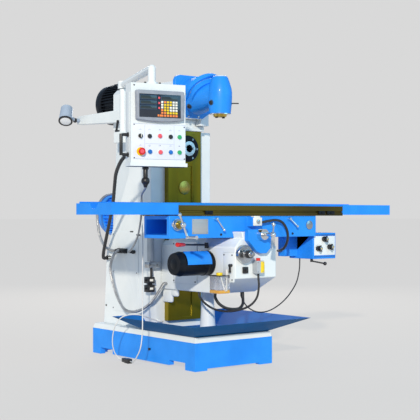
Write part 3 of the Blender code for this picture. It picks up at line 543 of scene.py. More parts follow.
pendant = {"face": (-0.533, -0.466), "turn": -13, "half": 0.17, "deep": 0.085}
pendantPlace = Matrix.Translation((*pendant["face"], 0)) @ Matrix.Rotation(math.radians(pendant["turn"]), 4, "Z")
plug = {
    "place": Matrix.Translation((-0.405, 0.062, 0.0)) @ Matrix.Rotation(math.radians(-8), 4, "Z"),
    "body": ((-0.017, -0.056, 0.001), (0.017, -0.002, 0.03)),
    "socket": ((-0.014, -0.0035, 0.003), (0.014, 0.038, 0.027)),
    "ribs": 5,
    "ribStep": 0.009,
    "ribLow": (-0.0175, -0.05, 0.006),
    "ribHigh": (0.0175, -0.046, 0.025),
}

laying = {"step": 0.008, "weld": 0.00005}  # metres between a cord's points, and between points made one

# blend: the body that holds the cord's last two points, then the one that holds its first two
cords = {
    "supplyLead": {
        "node": "supply_lead", "radius": 0.0035, "coat": "lightSheath",
        "slot": "light_cable", "end": "plug", "stiff": "medium",
        "points": [
            (-0.2623, 0.045, 0.93), (-0.276, 0.045, 0.93), (-0.298, 0.033, 0.915), (-0.325, 0.0, 0.86),
            (-0.36, -0.055, 0.755), (-0.395, -0.106, 0.63), (-0.435, -0.162, 0.5), (-0.47, -0.212, 0.36),
            (-0.486, -0.235, 0.24), (-0.482, -0.21, 0.13), (-0.46, -0.13, 0.055), (-0.43, -0.055, 0.02),
            plug["place"] @ Vector((0, -0.0763, 0.0155)), plug["place"] @ Vector((0, -0.0583, 0.0155)),
        ],
    },
    "trayLead": {
        "node": "tray_lead", "radius": 0.0035, "coat": "lightSheath",
        "slot": "light_cable", "end": "object", "stiff": "medium",
        "points": [
            plug["place"] @ Vector((0, 0.0403, 0.0155)), plug["place"] @ Vector((0, 0.0583, 0.0155)),
            (-0.405, 0.145, 0.022), (-0.43, 0.155, 0.06), (-0.465, 0.125, 0.13), (-0.487, 0.07, 0.22),
            (-0.476, 0.02, 0.285), (-0.44, -0.02, 0.308), (-0.38, -0.055, 0.306), (-0.3, -0.06, 0.279),
            (-0.23, -0.055, 0.255), (-0.19, -0.033, 0.25), (-0.185, -0.0145, 0.25), (-0.185, 0.0017, 0.25),
        ],
    },
    "armouredCable": {
        "node": "armoured_cable", "radius": 0.006, "coat": "hoseArmour",
        "slot": "grey_cable", "end": "object", "stiff": "stiff",
        "blend": ("frame", "pendant"),
        "points": [
            pendantPlace @ Vector((-0.064, 0.0425, 1.0976)), pendantPlace @ Vector((-0.064, 0.0425, 1.08)),
            (-0.563, -0.35, 1.056), (-0.533, -0.295, 1.042), (-0.508, -0.258, 1.012), (-0.49, -0.232, 0.965),
            (-0.466, -0.19, 0.905), (-0.415, -0.096, 0.832), (-0.37, -0.01, 0.783), (-0.33, 0.08, 0.74),
            (-0.305, 0.155, 0.702), (-0.292, 0.195, 0.688), (-0.279, 0.206, 0.686), (-0.2624, 0.206, 0.686),
        ],
    },
    "pendantConduit": {
        "node": "pendant_conduit", "radius": 0.011, "coat": "blackSheath",
        "slot": "black_rubber", "end": "object", "stiff": "stiff",
        "blend": ("frame", "pendant"),
        "points": [
            pendantPlace @ Vector((-0.12, 0.1053, 1.29)), pendantPlace @ Vector((-0.12, 0.133, 1.29)),
            (-0.635, -0.24, 1.25), (-0.59, -0.11, 1.18), (-0.53, 0.0, 1.11), (-0.44, 0.16, 0.99),
            (-0.36, 0.34, 0.83), (-0.315, 0.46, 0.69), (-0.292, 0.5, 0.64), (-0.2654, 0.5, 0.64),
        ],
    },
    "kneeConduit": {
        "node": "knee_conduit", "radius": 0.009, "coat": "hoseArmour",
        "slot": "grey_cable", "end": "object", "stiff": "stiff",
        "blend": ("frame", "knee"),
        "points": [
            (-0.1603, -0.035, 0.49), (-0.1843, -0.035, 0.49), (-0.225, -0.035, 0.44), (-0.265, -0.01, 0.375),
            (-0.29, 0.05, 0.33), (-0.305, 0.13, 0.308), (-0.312, 0.22, 0.32), (-0.312, 0.3, 0.39),
            (-0.312, 0.36, 0.49), (-0.315, 0.38, 0.58), (-0.31, 0.355, 0.655), (-0.288, 0.34, 0.69),
            (-0.2624, 0.34, 0.69),
        ],
    },
    "gearboxCable": {
        "node": "gearbox_cable", "radius": 0.004, "coat": "blackSheath",
        "slot": "black_rubber", "end": "object", "stiff": "medium",
        "blend": ("knee", "saddle"),
        "points": [
            (0.6, -0.45, 0.6447), (0.6, -0.45, 0.625), (0.592, -0.452, 0.56), (0.555, -0.456, 0.475),
            (0.45, -0.47, 0.385), (0.35, -0.45, 0.325), (0.26, -0.43, 0.315), (0.19, -0.41, 0.35),
            (0.15, -0.4, 0.41), (0.145, -0.4, 0.437), (0.145, -0.4, 0.4547),
        ],
    },
    "feedHose": {
        "node": "feed_hose", "radius": 0.008, "coat": "blackSheath",
        "slot": "black_rubber", "end": "object", "stiff": "stiff",
        "body": "saddle",
        "points": [
            (0.0803, -0.655, 0.882), (0.104, -0.655, 0.882), (0.15, -0.658, 0.889), (0.21, -0.66, 0.893),
            (0.26, -0.662, 0.875), (0.295, -0.662, 0.825), (0.312, -0.645, 0.768), (0.332, -0.595, 0.722),
            (0.36, -0.525, 0.702), (0.405, -0.455, 0.698), (0.445, -0.42, 0.698), (0.4697, -0.42, 0.698),
        ],
    },
    "switchLead": {
        "radius": 0.0065, "coat": "blackSheath",
        "slot": "black_rubber", "end": "object", "stiff": "stiff", "body": "knee",
        "points": [
            (0, -0.7315, 0.5797), (0, -0.7315, 0.556), (0.003, -0.732, 0.5), (-0.002, -0.715, 0.43),
            (-0.03, -0.665, 0.378), (-0.08, -0.575, 0.35), (-0.118, -0.475, 0.355), (-0.135, -0.39, 0.39),
            (-0.14, -0.345, 0.43), (-0.14, -0.34, 0.4547),
        ],
    },
    "motorHose": {
        "radius": 0.009, "coat": "hoseArmour",
        "slot": "grey_cable", "end": "object", "stiff": "stiff",
        "points": [
            (-0.06, 0.6853, 1.07), (-0.085, 0.686, 1.07), (-0.16, 0.682, 1.055), (-0.235, 0.65, 1.0),
            (-0.272, 0.61, 0.925), (-0.28, 0.585, 0.845), (-0.28, 0.558, 0.775), (-0.278, 0.505, 0.715),
            (-0.271, 0.44, 0.692), (-0.268, 0.42, 0.69), (-0.264, 0.397, 0.69),
        ],
    },
    "kneeLoop": {
        "radius": 0.009, "coat": "blackSheath",
        "slot": "black_rubber", "end": "object", "stiff": "stiff", "body": "knee",
        "points": [
            (-0.14, -0.5, 0.4547), (-0.14, -0.5, 0.43), (-0.125, -0.515, 0.395), (-0.09, -0.535, 0.368),
            (-0.04, -0.548, 0.358), (0.01, -0.548, 0.362), (0.05, -0.53, 0.385), (0.072, -0.505, 0.42),
            (0.075, -0.5, 0.4547),
        ],
    },
}


def makeTube(name, route, radius, coat):
    curve = bpy.data.curves.new(name, "CURVE")
    curve.dimensions = "3D"
    curve.bevel_depth = radius
    curve.bevel_resolution = 3
    curve.use_fill_caps = True
    spline = curve.splines.new("POLY")
    spline.points.add(len(route) - 1)
    for point, place in zip(spline.points, route):
        point.co = (*place, 1)
    guide = bpy.data.objects.new(name + "Guide", curve)
    bpy.context.scene.collection.objects.link(guide)
    graph = bpy.context.evaluated_depsgraph_get()
    mesh = bpy.data.meshes.new_from_object(guide.evaluated_get(graph))
    bpy.data.objects.remove(guide)
    bm = bmesh.new()
    bm.from_mesh(mesh)
    bmesh.ops.remove_doubles(bm, verts=bm.verts, dist=laying["weld"])
    bm.to_mesh(mesh)
    bm.free()
    mesh.shade_smooth()
    mesh.materials.clear()
    mesh.materials.append(finish[coat])
    piece = bpy.data.objects.new(name, mesh)
    bpy.context.scene.collection.objects.link(piece)
    return piece


def makeCords():
    plugBody = makePlug()
    for name, cord in cords.items():
        route = smoothRoute(cord["points"], laying["step"])
        piece = makeTube(name, route, cord["radius"], cord["coat"])
        if "blend" in cord:
            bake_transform(piece)
        else:
            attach(piece, cord.get("body", "frame"))
        if "node" in cord:
            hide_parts(cord["node"])


def makePlug():
    place = plug["place"]
    bm = bmesh.new()
    addBlock(bm, *plug["body"], 0.004, place)
    addBlock(bm, *plug["socket"], 0.003, place)
    for i in range(plug["ribs"]):
        along = Vector((0, plug["ribStep"] * i, 0))
        addBlock(bm, Vector(plug["ribLow"]) + along, Vector(plug["ribHigh"]) + along, 0.0005, place)
    return finishPiece(bm, "plugBody", "blackPlastic", "frame", ["lead_plug"])


makeCords()
print("cords laid:", len(cords))


# castings and plates: each part's own shape with its edges broken

# node: (coat, edge radius)
castings = {
    "base": ("blueEnamel", 0.006), "chip_tray": ("blueEnamel", 0.001), "column": ("whiteEnamel", 0.006),
    "column_ways": ("oiledIron", 0.0015), "cabinet_cover": ("whiteEnamel", 0.0012),
    "column_top": ("whiteEnamel", 0.004), "screw_pedestal": ("whiteEnamel", 0.002),
    "pendant_post": ("whiteEnamel", 0.003), "horizontal_spindle": ("turnedSteel", 0.001),
    "elevating_screw": ("turnedSteel", 0.0005), "ram": ("whiteEnamel", 0.008),
    "lamp_bracket": ("whiteEnamel", 0.004), "ram_clamp_lever": ("blackPlastic", 0.001),
    "swivel_housing": ("blueEnamel", 0.004), "spindle_housing": ("blueEnamel", 0.004),
    "vertical_spindle": ("oiledBrass", 0.0015), "knee": ("whiteEnamel", 0.005),
    "cross_bracket": ("blueEnamel", 0.004), "cross_crank": ("brightChrome", 0.0008),
    "elevating_dial": ("turnedSteel", 0.0025), "feed_motor": ("motorEnamel", 0.003),
    "lubricator_lever": ("blackPlastic", 0.001), "switch_box": ("greyCasting", 0.004),
    "switch_button": ("redPlastic", 0.0015), "rapid_lever": ("blackPlastic", 0.001),
    "saddle_beam": ("blueEnamel", 0.003), "feed_gearbox": ("blueEnamel", 0.003),
    "speed_knob_upper": ("blackPlastic", 0.001), "speed_knob_middle": ("blackPlastic", 0.001),
    "speed_knob_lower": ("blackPlastic", 0.001), "gearbox_lever": ("blackPlastic", 0.001),
    "traverse_crank": ("brightChrome", 0.0008), "table_clamp_left": ("brightChrome", 0.0005),
    "table_clamp_right": ("brightChrome", 0.0005), "left_guard": ("blueEnamel", 0.001),
    "right_guard": ("blueEnamel", 0.001), "pendant_arm": ("whiteEnamel", 0.004),
    "pendant_box": ("whiteEnamel", 0.003), "mode_selector": ("blackPlastic", 0.0008),
    "black_button_left": ("blackPlastic", 0.0015), "black_button_right": ("blackPlastic", 0.0015),
    "green_button_upper": ("greenPlastic", 0.0015), "emergency_stop": ("redPlastic", 0.003),
    "blue_button_left": ("bluePlastic", 0.0015), "blue_button_right": ("bluePlastic", 0.0015),
    "green_button_lower": ("greenPlastic", 0.0015), "lamp_head": ("lampEnamel", 0.002),
}


def bodyOf(node):
    for body, members in frame["record"]["behaviour"]["bodies"].items():
        if node in members:
            return body


def breakEdges(node, coat, edge):
    bm = bmesh.new()
    bm.from_mesh(frame["nodes"][node].data)
    bmesh.ops.remove_doubles(bm, verts=bm.verts, dist=shaping["weld"])
    bmesh.ops.dissolve_limit(
        bm, angle_limit=math.radians(shaping["flat"]), verts=bm.verts, edges=bm.edges, delimit={"NORMAL"}
    )
    piece = finishPiece(bm, node + "Finish", coat, bodyOf(node), [node])
    bevel = piece.modifiers.new("edges", "BEVEL")
    bevel.width = edge
    bevel.segments = 2
    bevel.limit_method = "ANGLE"
    bevel.angle_limit = math.radians(shaping["crease"])
    return piece


castPiece = {node: breakEdges(node, *look) for node, look in castings.items()}
print("castings finished:", len(castPiece))


# base and tray

base = {"whiteAbove": 0.17, "plug": ((-0.3033, -0.053, 0.09), (-0.314, -0.053, 0.09), 0.008)}
tray = {"lean": 0.05}  # a face with less lean than this is a wall, not a floor or an underside


def dressBase():
    # the band round the base's top is white
    casting = castPiece["base"].data
    casting.materials.append(finish["whiteEnamel"])
    for side in casting.polygons:
        if side.center.z > base["whiteAbove"]:
            side.material_index = 1
    bm = bmesh.new()
    addRod(bm, *base["plug"], edge=0.0015)
    finishPiece(bm, "levellingPlugs", "blackPlastic", "frame")


def shadeTrayByFacing():
    # painted shade: the tray's floor and its other faces that look up get a darker, rougher copy of the blue enamel,
    # and its faces that look down a much darker one
    sheet = castPiece["chip_tray"].data
    sheet.materials.append(finish["trayFloorPaintedShade"])
    sheet.materials.append(finish["trayUndersidePaintedShade"])
    for side in sheet.polygons:
        if side.normal.z > tray["lean"]:
            side.material_index = 1
        elif side.normal.z < -tray["lean"]:
            side.material_index = 2


shadeTrayByFacing()
dressBase()
print("base dressed")


# table, drawn along its length

table = {
    "left": -0.514,
    "right": 0.806,
    "front": -0.634,
    "rear": -0.274,
    "bottom": 0.92,
    "top": 0.98,
    "groove": (0.938, 0.941, 0.947, 0.95),  # heights of its edges, from below
    "grooveDeep": 0.007,
    "slots": (-0.544, -0.454, -0.364),
    "neck": 0.007,
    "head": 0.012,
    "headTop": 0.9655,
    "slotFloor": 0.954,
}
tripDogs = {
    "spans": ((-0.325, -0.27), (0.585, 0.64), (0.66, 0.725)),
    "low": 0.927,
    "high": 0.949,
    "thick": 0.009,
    "boltHeight": 0.938,
    "boltHead": 0.005,
    "boltRadius": 0.006,
}
guardBolts = {"across": (-0.6, -0.31), "height": 0.945, "inset": 0.001, "half": 0.003, "radius": 0.006}


def makeTable():
    left, right, front, top = (table[side] for side in ("left", "right", "front", "top"))
    under, floorLow, floorHigh, over = table["groove"]
    inside = front + table["grooveDeep"]
    points = [(front, table["bottom"]), (front, under), (inside, floorLow), (inside, floorHigh), (front, over)]
    points.append((front, top))
    for middle in table["slots"]:
        for side in (-1, 1):
            neck, wide = middle + side * table["neck"], middle + side * table["head"]
            steps = [(neck, top), (neck, table["headTop"]), (wide, table["headTop"]), (wide, table["slotFloor"])]
            points += steps if side < 0 else steps[::-1]
    points += [(table["rear"], top), (table["rear"], table["bottom"])]
    bm = bmesh.new()
    addOutline(bm, points, "x", left, right)
    finishPiece(bm, "tableFinish", "oiledTable", "table", ["table"])
    bm = bmesh.new()
    dog = tripDogs
    for near, far in dog["spans"]:
        addBlock(bm, (near, front - dog["thick"], dog["low"]), (far, front - seat, dog["high"]), 0.002)
        middle, face = (near + far) / 2, front - dog["thick"]
        ends = [(middle, across, dog["boltHeight"]) for across in (face, face - dog["boltHead"])]
        addRod(bm, *ends, dog["boltRadius"], **hexHead)
    finishPiece(bm, "tripDogs", "motorEnamel", "table")
    bm = bmesh.new()
    bolt = guardBolts
    for end in (left - bolt["inset"], right + bolt["inset"]):
        for across in bolt["across"]:
            ends = [(end + side * bolt["half"], across, bolt["height"]) for side in (-1, 1)]
            addRod(bm, *ends, bolt["radius"], **hexHead)
    finishPiece(bm, "guardBolts", "turnedSteel", "table")


makeTable()
print("table made")


# motors

# middle of the inner end, length, radius of the cowl and under the fins, top of the terminal box above the axis
motors = {
    "ramMotor": {
        "node": "ram_motor", "coat": "motorEnamel", "slot": "motor_black", "body": "ram",
        "centre": (0, 0.6003, 1.7), "length": 0.2647, "radius": 0.14, "core": 0.122, "boxTop": 0.1386,
    },
    "rearMotor": {
        "node": "rear_motor", "coat": "blueEnamel", "slot": "blue_paint", "body": "frame",
        "centre": (0, 0.5353, 0.927), "length": 0.2847, "radius": 0.15, "core": 0.133, "boxTop": 0.188,
    },
}
motorFins = {"count": 40, "half": 0.0016, "start": 0.024, "cowlLong": 0.085}
motorVents = {"count": 10, "half": 0.011, "from": 0.36, "to": 0.72}


def makeMotor(name, look):
    x, y, z = look["centre"]
    long, radius, core = look["length"], look["radius"], look["core"]
    cowl = long - motorFins["cowlLong"]
    bm = bmesh.new()
    profile = [
        (0, 0), (radius * 0.93, 0), (radius * 0.97, 0.004), (radius * 0.97, 0.022), (core, 0.026), (core, cowl),
        (radius * 0.985, cowl + 0.001), (radius, cowl + 0.004), (radius, long - 0.022), (radius * 0.93, long - 0.006),
        (radius * 0.84, long), (radius * 0.3, long), (radius * 0.26, long - 0.004), (0, long - 0.004)]
    addTurned(bm, profile, look["centre"], (0, 1, 0), 56)
    half, start = motorFins["half"], motorFins["start"]
    for turn in turnsRound((x, y, z), motorFins["count"]):
        addBlock(bm, (-half, start, core - 0.003), (half, cowl + 0.002, radius * 0.985), 0, turn)
    middle = Matrix.Translation((x, y, z))
    addBlock(bm, (-0.05, 0.05, radius * 0.8), (0.05, 0.15, look["boxTop"]), 0.006, middle)
    finishPiece(bm, name, look["coat"], look["body"], [look["node"]])
    bm = bmesh.new()
    half, near, far = motorVents["half"], radius * motorVents["from"], radius * motorVents["to"]
    for turn in turnsRound((x, y + long, z), motorVents["count"]):
        addBlock(bm, (-half, -0.0005, near), (half, 0.0012, far), 0.0003, turn)
    finishPiece(bm, name + "Vents", "blackSheath", look["body"])


feedMotor = {
    "axis": (-0.46, 0.636),
    "radius": 0.0715,
    "rings": (-0.1625, -0.2),
    "end": -0.42,
    "endCap": [(0, 0.0012), (0.03, 0.0012), (0.034, -0.001), (0.034, -0.004), (0, -0.004)],
    "cover": (-0.374, -0.195),
    "coverTurn": (-2, 68),
    "coverOver": (0.005, 0.0095),  # how far its inside and outside stand off the motor
}


def dressFeedMotor():
    y, z = feedMotor["axis"]
    radius = feedMotor["radius"]
    bm = bmesh.new()
    profile = [
        (radius + 0.001, 0), (radius + 0.003, 0.003), (radius + 0.003, 0.012), (radius + 0.0005, 0.014),
        (radius - 0.001, 0.014), (radius - 0.001, 0)]
    for start in feedMotor["rings"]:
        addTurned(bm, [*profile, profile[0]], (start, y, z), (-1, 0, 0), 48)
    addTurned(bm, feedMotor["endCap"], (feedMotor["end"], y, z), (-1, 0, 0), 32)
    finishPiece(bm, "feedMotorRings", "motorEnamel", "knee")
    (start, end), (inside, outside) = feedMotor["coverTurn"], feedMotor["coverOver"]
    outer = arcPoints((-y, z), radius + outside, start, end, 16)
    inner = arcPoints((-y, z), radius + inside, end, start, 16)
    bm = bmesh.new()
    addOutline(bm, [(-a, b) for a, b in outer + inner], "x", *feedMotor["cover"], edge=0.0008)
    finishPiece(bm, "feedMotorCover", "blueEnamel", "knee")


for name, look in motors.items():
    makeMotor(name, look)
dressFeedMotor()
print("motors made")


# head

head = {
    "spindle": (0, -0.372),
    "top": 1.776,
    "cap": [(0, 0.0002), (0.043, 0.0002), (0.043, 0.002), (0.039, 0.005), (0.02, 0.0065), (0.018, 0.008), (0, 0.008)],
    "collarHeight": 1.5428,
    "collar": (0.0462, 0.0655, 0.006),  # inner and outer radius, thickness
    "jointCentre": (0, -0.2213, 1.6967),
    "joint": (0.107, 0.1122, 0.003),
    "stopPin": ((0.05, -0.412, 1.613), (0.09, -0.444, 1.612), 0.0038),
    "keySide": 0.027,
    "keyLow": 1.5215,
    "keyHigh": 1.5289,
}
# place and outward direction of each socket screw
headScrews = {
    "head_swivel": [((-0.1205, -0.17, 1.685), (-1, 0, 0)), ((0.1205, -0.17, 1.685), (1, 0, 0))],
    "head_tilt": [
        ((-0.0725, -0.376, 1.6131), (-1, 0, -0.05)),
        ((0.0725, -0.376, 1.6131), (1, 0, -0.05)),
        ((-0.0847, -0.1711, 1.6067), (-0.76, -0.21, -0.62)),
        ((0.0847, -0.1711, 1.6067), (0.76, -0.21, -0.62)),
    ],
}
socketScrew = {"pocket": 0.0175, "deep": 0.004, "proud": 0.0012, "cap": (0.0055, 0.0115, 0.009), "socket": 0.006}
swivelNuts = {"centre": (0, 0, 1.65), "count": 8, "nut": ((0, -0.1, 0.105), (0, -0.107, 0.105), 0.0075)}


def dressHeadScrews(body, screws):
    bm = bmesh.new()
    places = [(Vector(place), Vector(along).normalized()) for place, along in screws]
    # painted shade: a navy disc round each screw stands for the shade inside its counterbore
    for place, along in places:
        foot, rim = place - along * socketScrew["deep"], place + along * socketScrew["proud"]
        addRod(bm, foot, rim, socketScrew["pocket"], segments=28, edge=0.0006)
    finishPiece(bm, body + "PocketShade", "navyTrimAndPaintedShade", body)
    bm = bmesh.new()
    for place, along in places:
        addRing(bm, place + along * 0.001, along, *socketScrew["cap"], 24)
        addRod(bm, place, place + along * 0.004, socketScrew["socket"], segments=6)
    finishPiece(bm, body + "Screws", "blackSheath", body)


def dressHead():
    x, y = head["spindle"]
    bm = bmesh.new()
    addTurned(bm, head["cap"], (x, y, head["top"]))
    finishPiece(bm, "headCap", "whiteEnamel", "head_tilt")
    bm = bmesh.new()
    addRing(bm, (x, y, head["collarHeight"]), (0, 0, 1), *head["collar"])
    addRing(bm, head["jointCentre"], (0, -1, -1), *head["joint"], 64)
    finishPiece(bm, "headRings", "brightChrome", "head_tilt")
    bm = bmesh.new()
    addRod(bm, *head["stopPin"], edge=0.0008)
    finishPiece(bm, "stopPin", "blackSheath", "head_tilt")
    for body, screws in headScrews.items():
        dressHeadScrews(body, screws)
    bm = bmesh.new()
    for x in (-head["keySide"], head["keySide"]):
        addBlock(bm, (x - 0.006, y - 0.0075, head["keyLow"]), (x + 0.006, y + 0.0075, head["keyHigh"]), 0.001)
    finishPiece(bm, "noseKeys", "blackSheath", "spindle")
    bm = bmesh.new()
    for turn in turnsRound(swivelNuts["centre"], swivelNuts["count"], 0.5):
        addRod(bm, *swivelNuts["nut"], **hexHead, place=turn)
    finishPiece(bm, "swivelNuts", "turnedSteel", "ram")


dressHead()
print("head dressed")


# lamp

lampHead = {
    "centre": (-0.33, 0.93, 1.58),
    "facing": (-0.37, -0.47, -0.8),
    "radius": 0.047,
    "lens": [(0, 0.0005), (0.84, 0.0005), (0.8, 0.004), (0.5, 0.0075), (0, 0.009)],  # radius as a share of the head's
    "knobs": [
        ((-0.238, 0.945, 1.59), (-0.252, 0.945, 1.59), 0.017),
        ((-0.182, 0.945, 1.59), (-0.17, 0.945, 1.59), 0.014),
    ],
}


def dressLamp():
    centre, facing = Vector(lampHead["centre"]), Vector(lampHead["facing"]).normalized()
    radius = lampHead["radius"]
    bm = bmesh.new()
    addTurned(bm, [(radius * share, height) for share, height in lampHead["lens"]], centre, facing)
    finishPiece(bm, "lampLens", "lensGlass", "lamp")
    bm = bmesh.new()
    addRing(bm, centre - facing * 0.004, facing, radius * 0.82, radius + 0.0025, 0.009)
    addRods(bm, lampHead["knobs"], segments=20, edge=0.002)
    finishPiece(bm, "lampRing", "blackPlastic", "lamp")


dressLamp()
print("lamp dressed")


# column

column = {
    "flange": (0, -0.04, 1.35),
    "flangeProfile": [
        (0.048, 0), (0.0835, 0), (0.0845, 0.001), (0.0845, 0.006), (0.08, 0.0085), (0.056, 0.0085), (0.054, 0.006),
        (0.048, 0.006), (0.048, 0)],
    "flangeScrew": (0.0035, 0.0065, 0.005),
    "wayPlug": ((0, -0.0055, 1.1), (0, -0.0105, 1.1), 0.044),
    "coverScrews": [(across, height) for across in (0.18, 0.455) for height in (0.31, 0.55, 0.797)],
    "capBolts": [(x, across) for across in (0.02, 0.24, 0.44) for x in (-0.128, 0.128)],
}
glands = {
    "latch": ((-0.2446, 0.222, 0.812), (-0.2403, 0.258, 0.82)),
    "plugs": [
        ((-0.2405, 0.148, 0.796), (-0.246, 0.148, 0.796), 0.006),
        ((-0.2405, 0.545, 0.32), (-0.245, 0.545, 0.32), 0.006),
    ],
    "leadNut": ((-0.2405, 0.045, 0.93), (-0.2625, 0.045, 0.93), 0.0115),
    "cableNut": ((-0.2436, 0.206, 0.686), (-0.2627, 0.206, 0.686), 0.0125),
    "cableSleeve": ((-0.2627, 0.206, 0.686), (-0.288, 0.203, 0.688), 0.0105, 0.0085),
    "block": ((-0.256, 0.287, 0.674), (-0.2436, 0.396, 0.706)),
    "blockNuts": [((-0.2436, y, 0.69), (-0.2627, y, 0.69), 0.0165) for y in (0.305, 0.34, 0.378)],
    "blockSleeves": [((-0.2627, y, 0.69), (-0.278, y, 0.69), 0.0135, 0.0115) for y in (0.305, 0.34, 0.378)],
    "conduitNut": ((-0.24, 0.5, 0.64), (-0.2655, 0.5, 0.64), 0.0175),
}


def dressColumn():
    bm = bmesh.new()
    addTurned(bm, column["flangeProfile"], column["flange"], (0, -1, 0), 56)
    finishPiece(bm, "spindleFlange", "motorEnamel", "frame")
    bm = bmesh.new()
    for turn in turnsRound(column["flange"], 6, 0.5):
        addRing(bm, turn @ Vector((0, -0.0083, 0.068)), (0, -1, 0), *column["flangeScrew"], 20)
    finishPiece(bm, "flangeScrews", "turnedSteel", "frame")
    bm = bmesh.new()
    addRod(bm, *column["wayPlug"], segments=48, edge=0.001)
    finishPiece(bm, "wayPlug", "oiledBrass", "frame")
    makeGlands()
    bm = bmesh.new()
    for across, height in column["coverScrews"]:
        addRod(bm, (-0.2434, across, height), (-0.2455, across, height), 0.0055, segments=20, edge=0.0008)
    finishPiece(bm, "coverScrews", "turnedSteel", "frame")
    bm = bmesh.new()
    for x, across in column["capBolts"]:
        addRod(bm, (x, across, 1.5), (x, across, 1.509), 0.009, segments=6, edge=0.001)
    finishPiece(bm, "capBolts", "blackSheath", "frame")


def makeGlands():
    bm = bmesh.new()
    addBlock(bm, *glands["latch"], 0.0015)
    addRods(bm, glands["plugs"], segments=16, edge=0.001)
    addRod(bm, *glands["leadNut"], segments=12, edge=0.001)
    addRod(bm, *glands["cableNut"], segments=6, edge=0.001)
    addRods(bm, [glands["cableSleeve"], *glands["blockSleeves"]], segments=20, edge=0.001)
    addRods(bm, [*glands["blockNuts"], glands["conduitNut"]], segments=6, edge=0.0012)
    addBlock(bm, *glands["block"], 0.003)
    finishPiece(bm, "glands", "blackPlastic", "frame")


# rail, tripping block and switches on the column's front left corner
travelSwitch = {
    "rail": ((-0.252, -0.002, 0.785), (-0.252, -0.002, 0.63), 0.0135),
    "railFoot": ((-0.247, -0.002, 0.63), (-0.2403, 0.06, 0.785)),
    "block": ((-0.288, -0.02, 0.592), (-0.2, 0.0296, 0.628)),
    "blockBolts": [((x, -0.0195, 0.61), (x, -0.026, 0.61), 0.0075) for x in (-0.27, -0.22)],
    "plunger": ((-0.256, 0.0, 0.592), (-0.256, 0.0, 0.535), 0.008),
    "bodies": ((0.495, 0.535), (0.44, 0.485)),
    "link": ((-0.268, 0.002, 0.484), (-0.245, 0.0296, 0.497)),
    "labels": (0.515, 0.462),
}


def makeTravelSwitch():
    bm = bmesh.new()
    addRod(bm, *travelSwitch["rail"], segments=28, edge=0.001)
    addBlock(bm, *travelSwitch["railFoot"], 0.002)
    finishPiece(bm, "travelRail", "greyCasting", "frame")
    bm = bmesh.new()
    addBlock(bm, *travelSwitch["block"], 0.003)
    addRods(bm, travelSwitch["blockBolts"], **hexHead)
    finishPiece(bm, "travelBlock", "turnedSteel", "frame")
    bm = bmesh.new()
    addRod(bm, *travelSwitch["plunger"], segments=20)
    for low, high in travelSwitch["bodies"]:
        middle = (low + high) / 2
        addBlock(bm, (-0.292, -0.018, low), (-0.2405, 0.0296, high), 0.003)
        addBlock(bm, (-0.246, 0.02, low + 0.004), (-0.2403, 0.06, high - 0.004), 0.001)
        addRod(bm, (-0.294, 0.004, middle), (-0.304, 0.004, middle), 0.006, segments=16, edge=0.001)
    addBlock(bm, *travelSwitch["link"], 0.001)
    finishPiece(bm, "travelSwitches", "blackPlastic", "frame")
    bm = bmesh.new()
    for height in travelSwitch["labels"]:
        addBlock(bm, (-0.28, -0.0192, height - 0.007), (-0.254, -0.0182, height + 0.007), 0.0003)
    finishPiece(bm, "travelLabels", "creamPlastic", "frame")


dressColumn()
makeTravelSwitch()
print("column dressed")


# knee

kneeCovers = [
    (((-0.166, -0.705, 0.53), (-0.1603, -0.6, 0.705)), 0.005),
    (((-0.1645, -0.35, 0.5), (-0.1603, -0.1, 0.76)), 0.004),
    (((-0.158, -0.08, 0.372), (-0.1345, 0.018, 0.4547)), 0.012),
    (((-0.158, -0.14, 0.412), (-0.1345, -0.07, 0.4547)), 0.012),
]
smallSwitch = {
    "box": ((-0.107, -0.723, 0.5825), (-0.069, -0.7103, 0.6205)),
    "button": ((-0.088, -0.723, 0.602), (-0.088, -0.73, 0.602), 0.009),
}
# of each cover's four screws: x of their feet, the two places along y and the two heights
kneeScrews = [(-0.166, (-0.69, -0.615), (0.545, 0.69)), (-0.1645, (-0.335, -0.115), (0.515, 0.745))]


def dressKnee():
    bm = bmesh.new()
    for corners, edge in kneeCovers:
        addBlock(bm, *corners, edge)
    finishPiece(bm, "kneeCovers", "whiteEnamel", "knee")
    bm = bmesh.new()
    addBlock(bm, *smallSwitch["box"], 0.003)
    addRod(bm, *smallSwitch["button"], segments=20, edge=0.001)
    for x, across, heights in kneeScrews:
        for y in across:
            for z in heights:
                addRod(bm, (x, y, z), (x - 0.003, y, z), 0.0045, **roundHead)
    finishPiece(bm, "kneeScrews", "blackPlastic", "knee")


tank = {
    "low": (-0.245, -0.665, 0.466),
    "high": (-0.1603, -0.575, 0.575),
    "oilTop": 0.486,
    "cap": ((-0.215, -0.632, 0.5705), (-0.215, -0.632, 0.588), 0.019),
    "pump": ((-0.178, -0.655, 0.5705), (-0.178, -0.655, 0.606), 0.009),
    "tubes": [
        ((-0.19, -0.669, 0.48), (-0.19, -0.669, 0.56), 0.0032),
        ((-0.2, -0.669, 0.48), (-0.235, -0.669, 0.565), 0.0032),
    ],
    "clips": [((x - 0.004, -0.6665, 0.556), (x + 0.004, -0.6652, 0.572)) for x in (-0.236, -0.17)],
    "strap": ((-0.247, -0.667, 0.5668), (-0.1603, -0.573, 0.5715)),
}


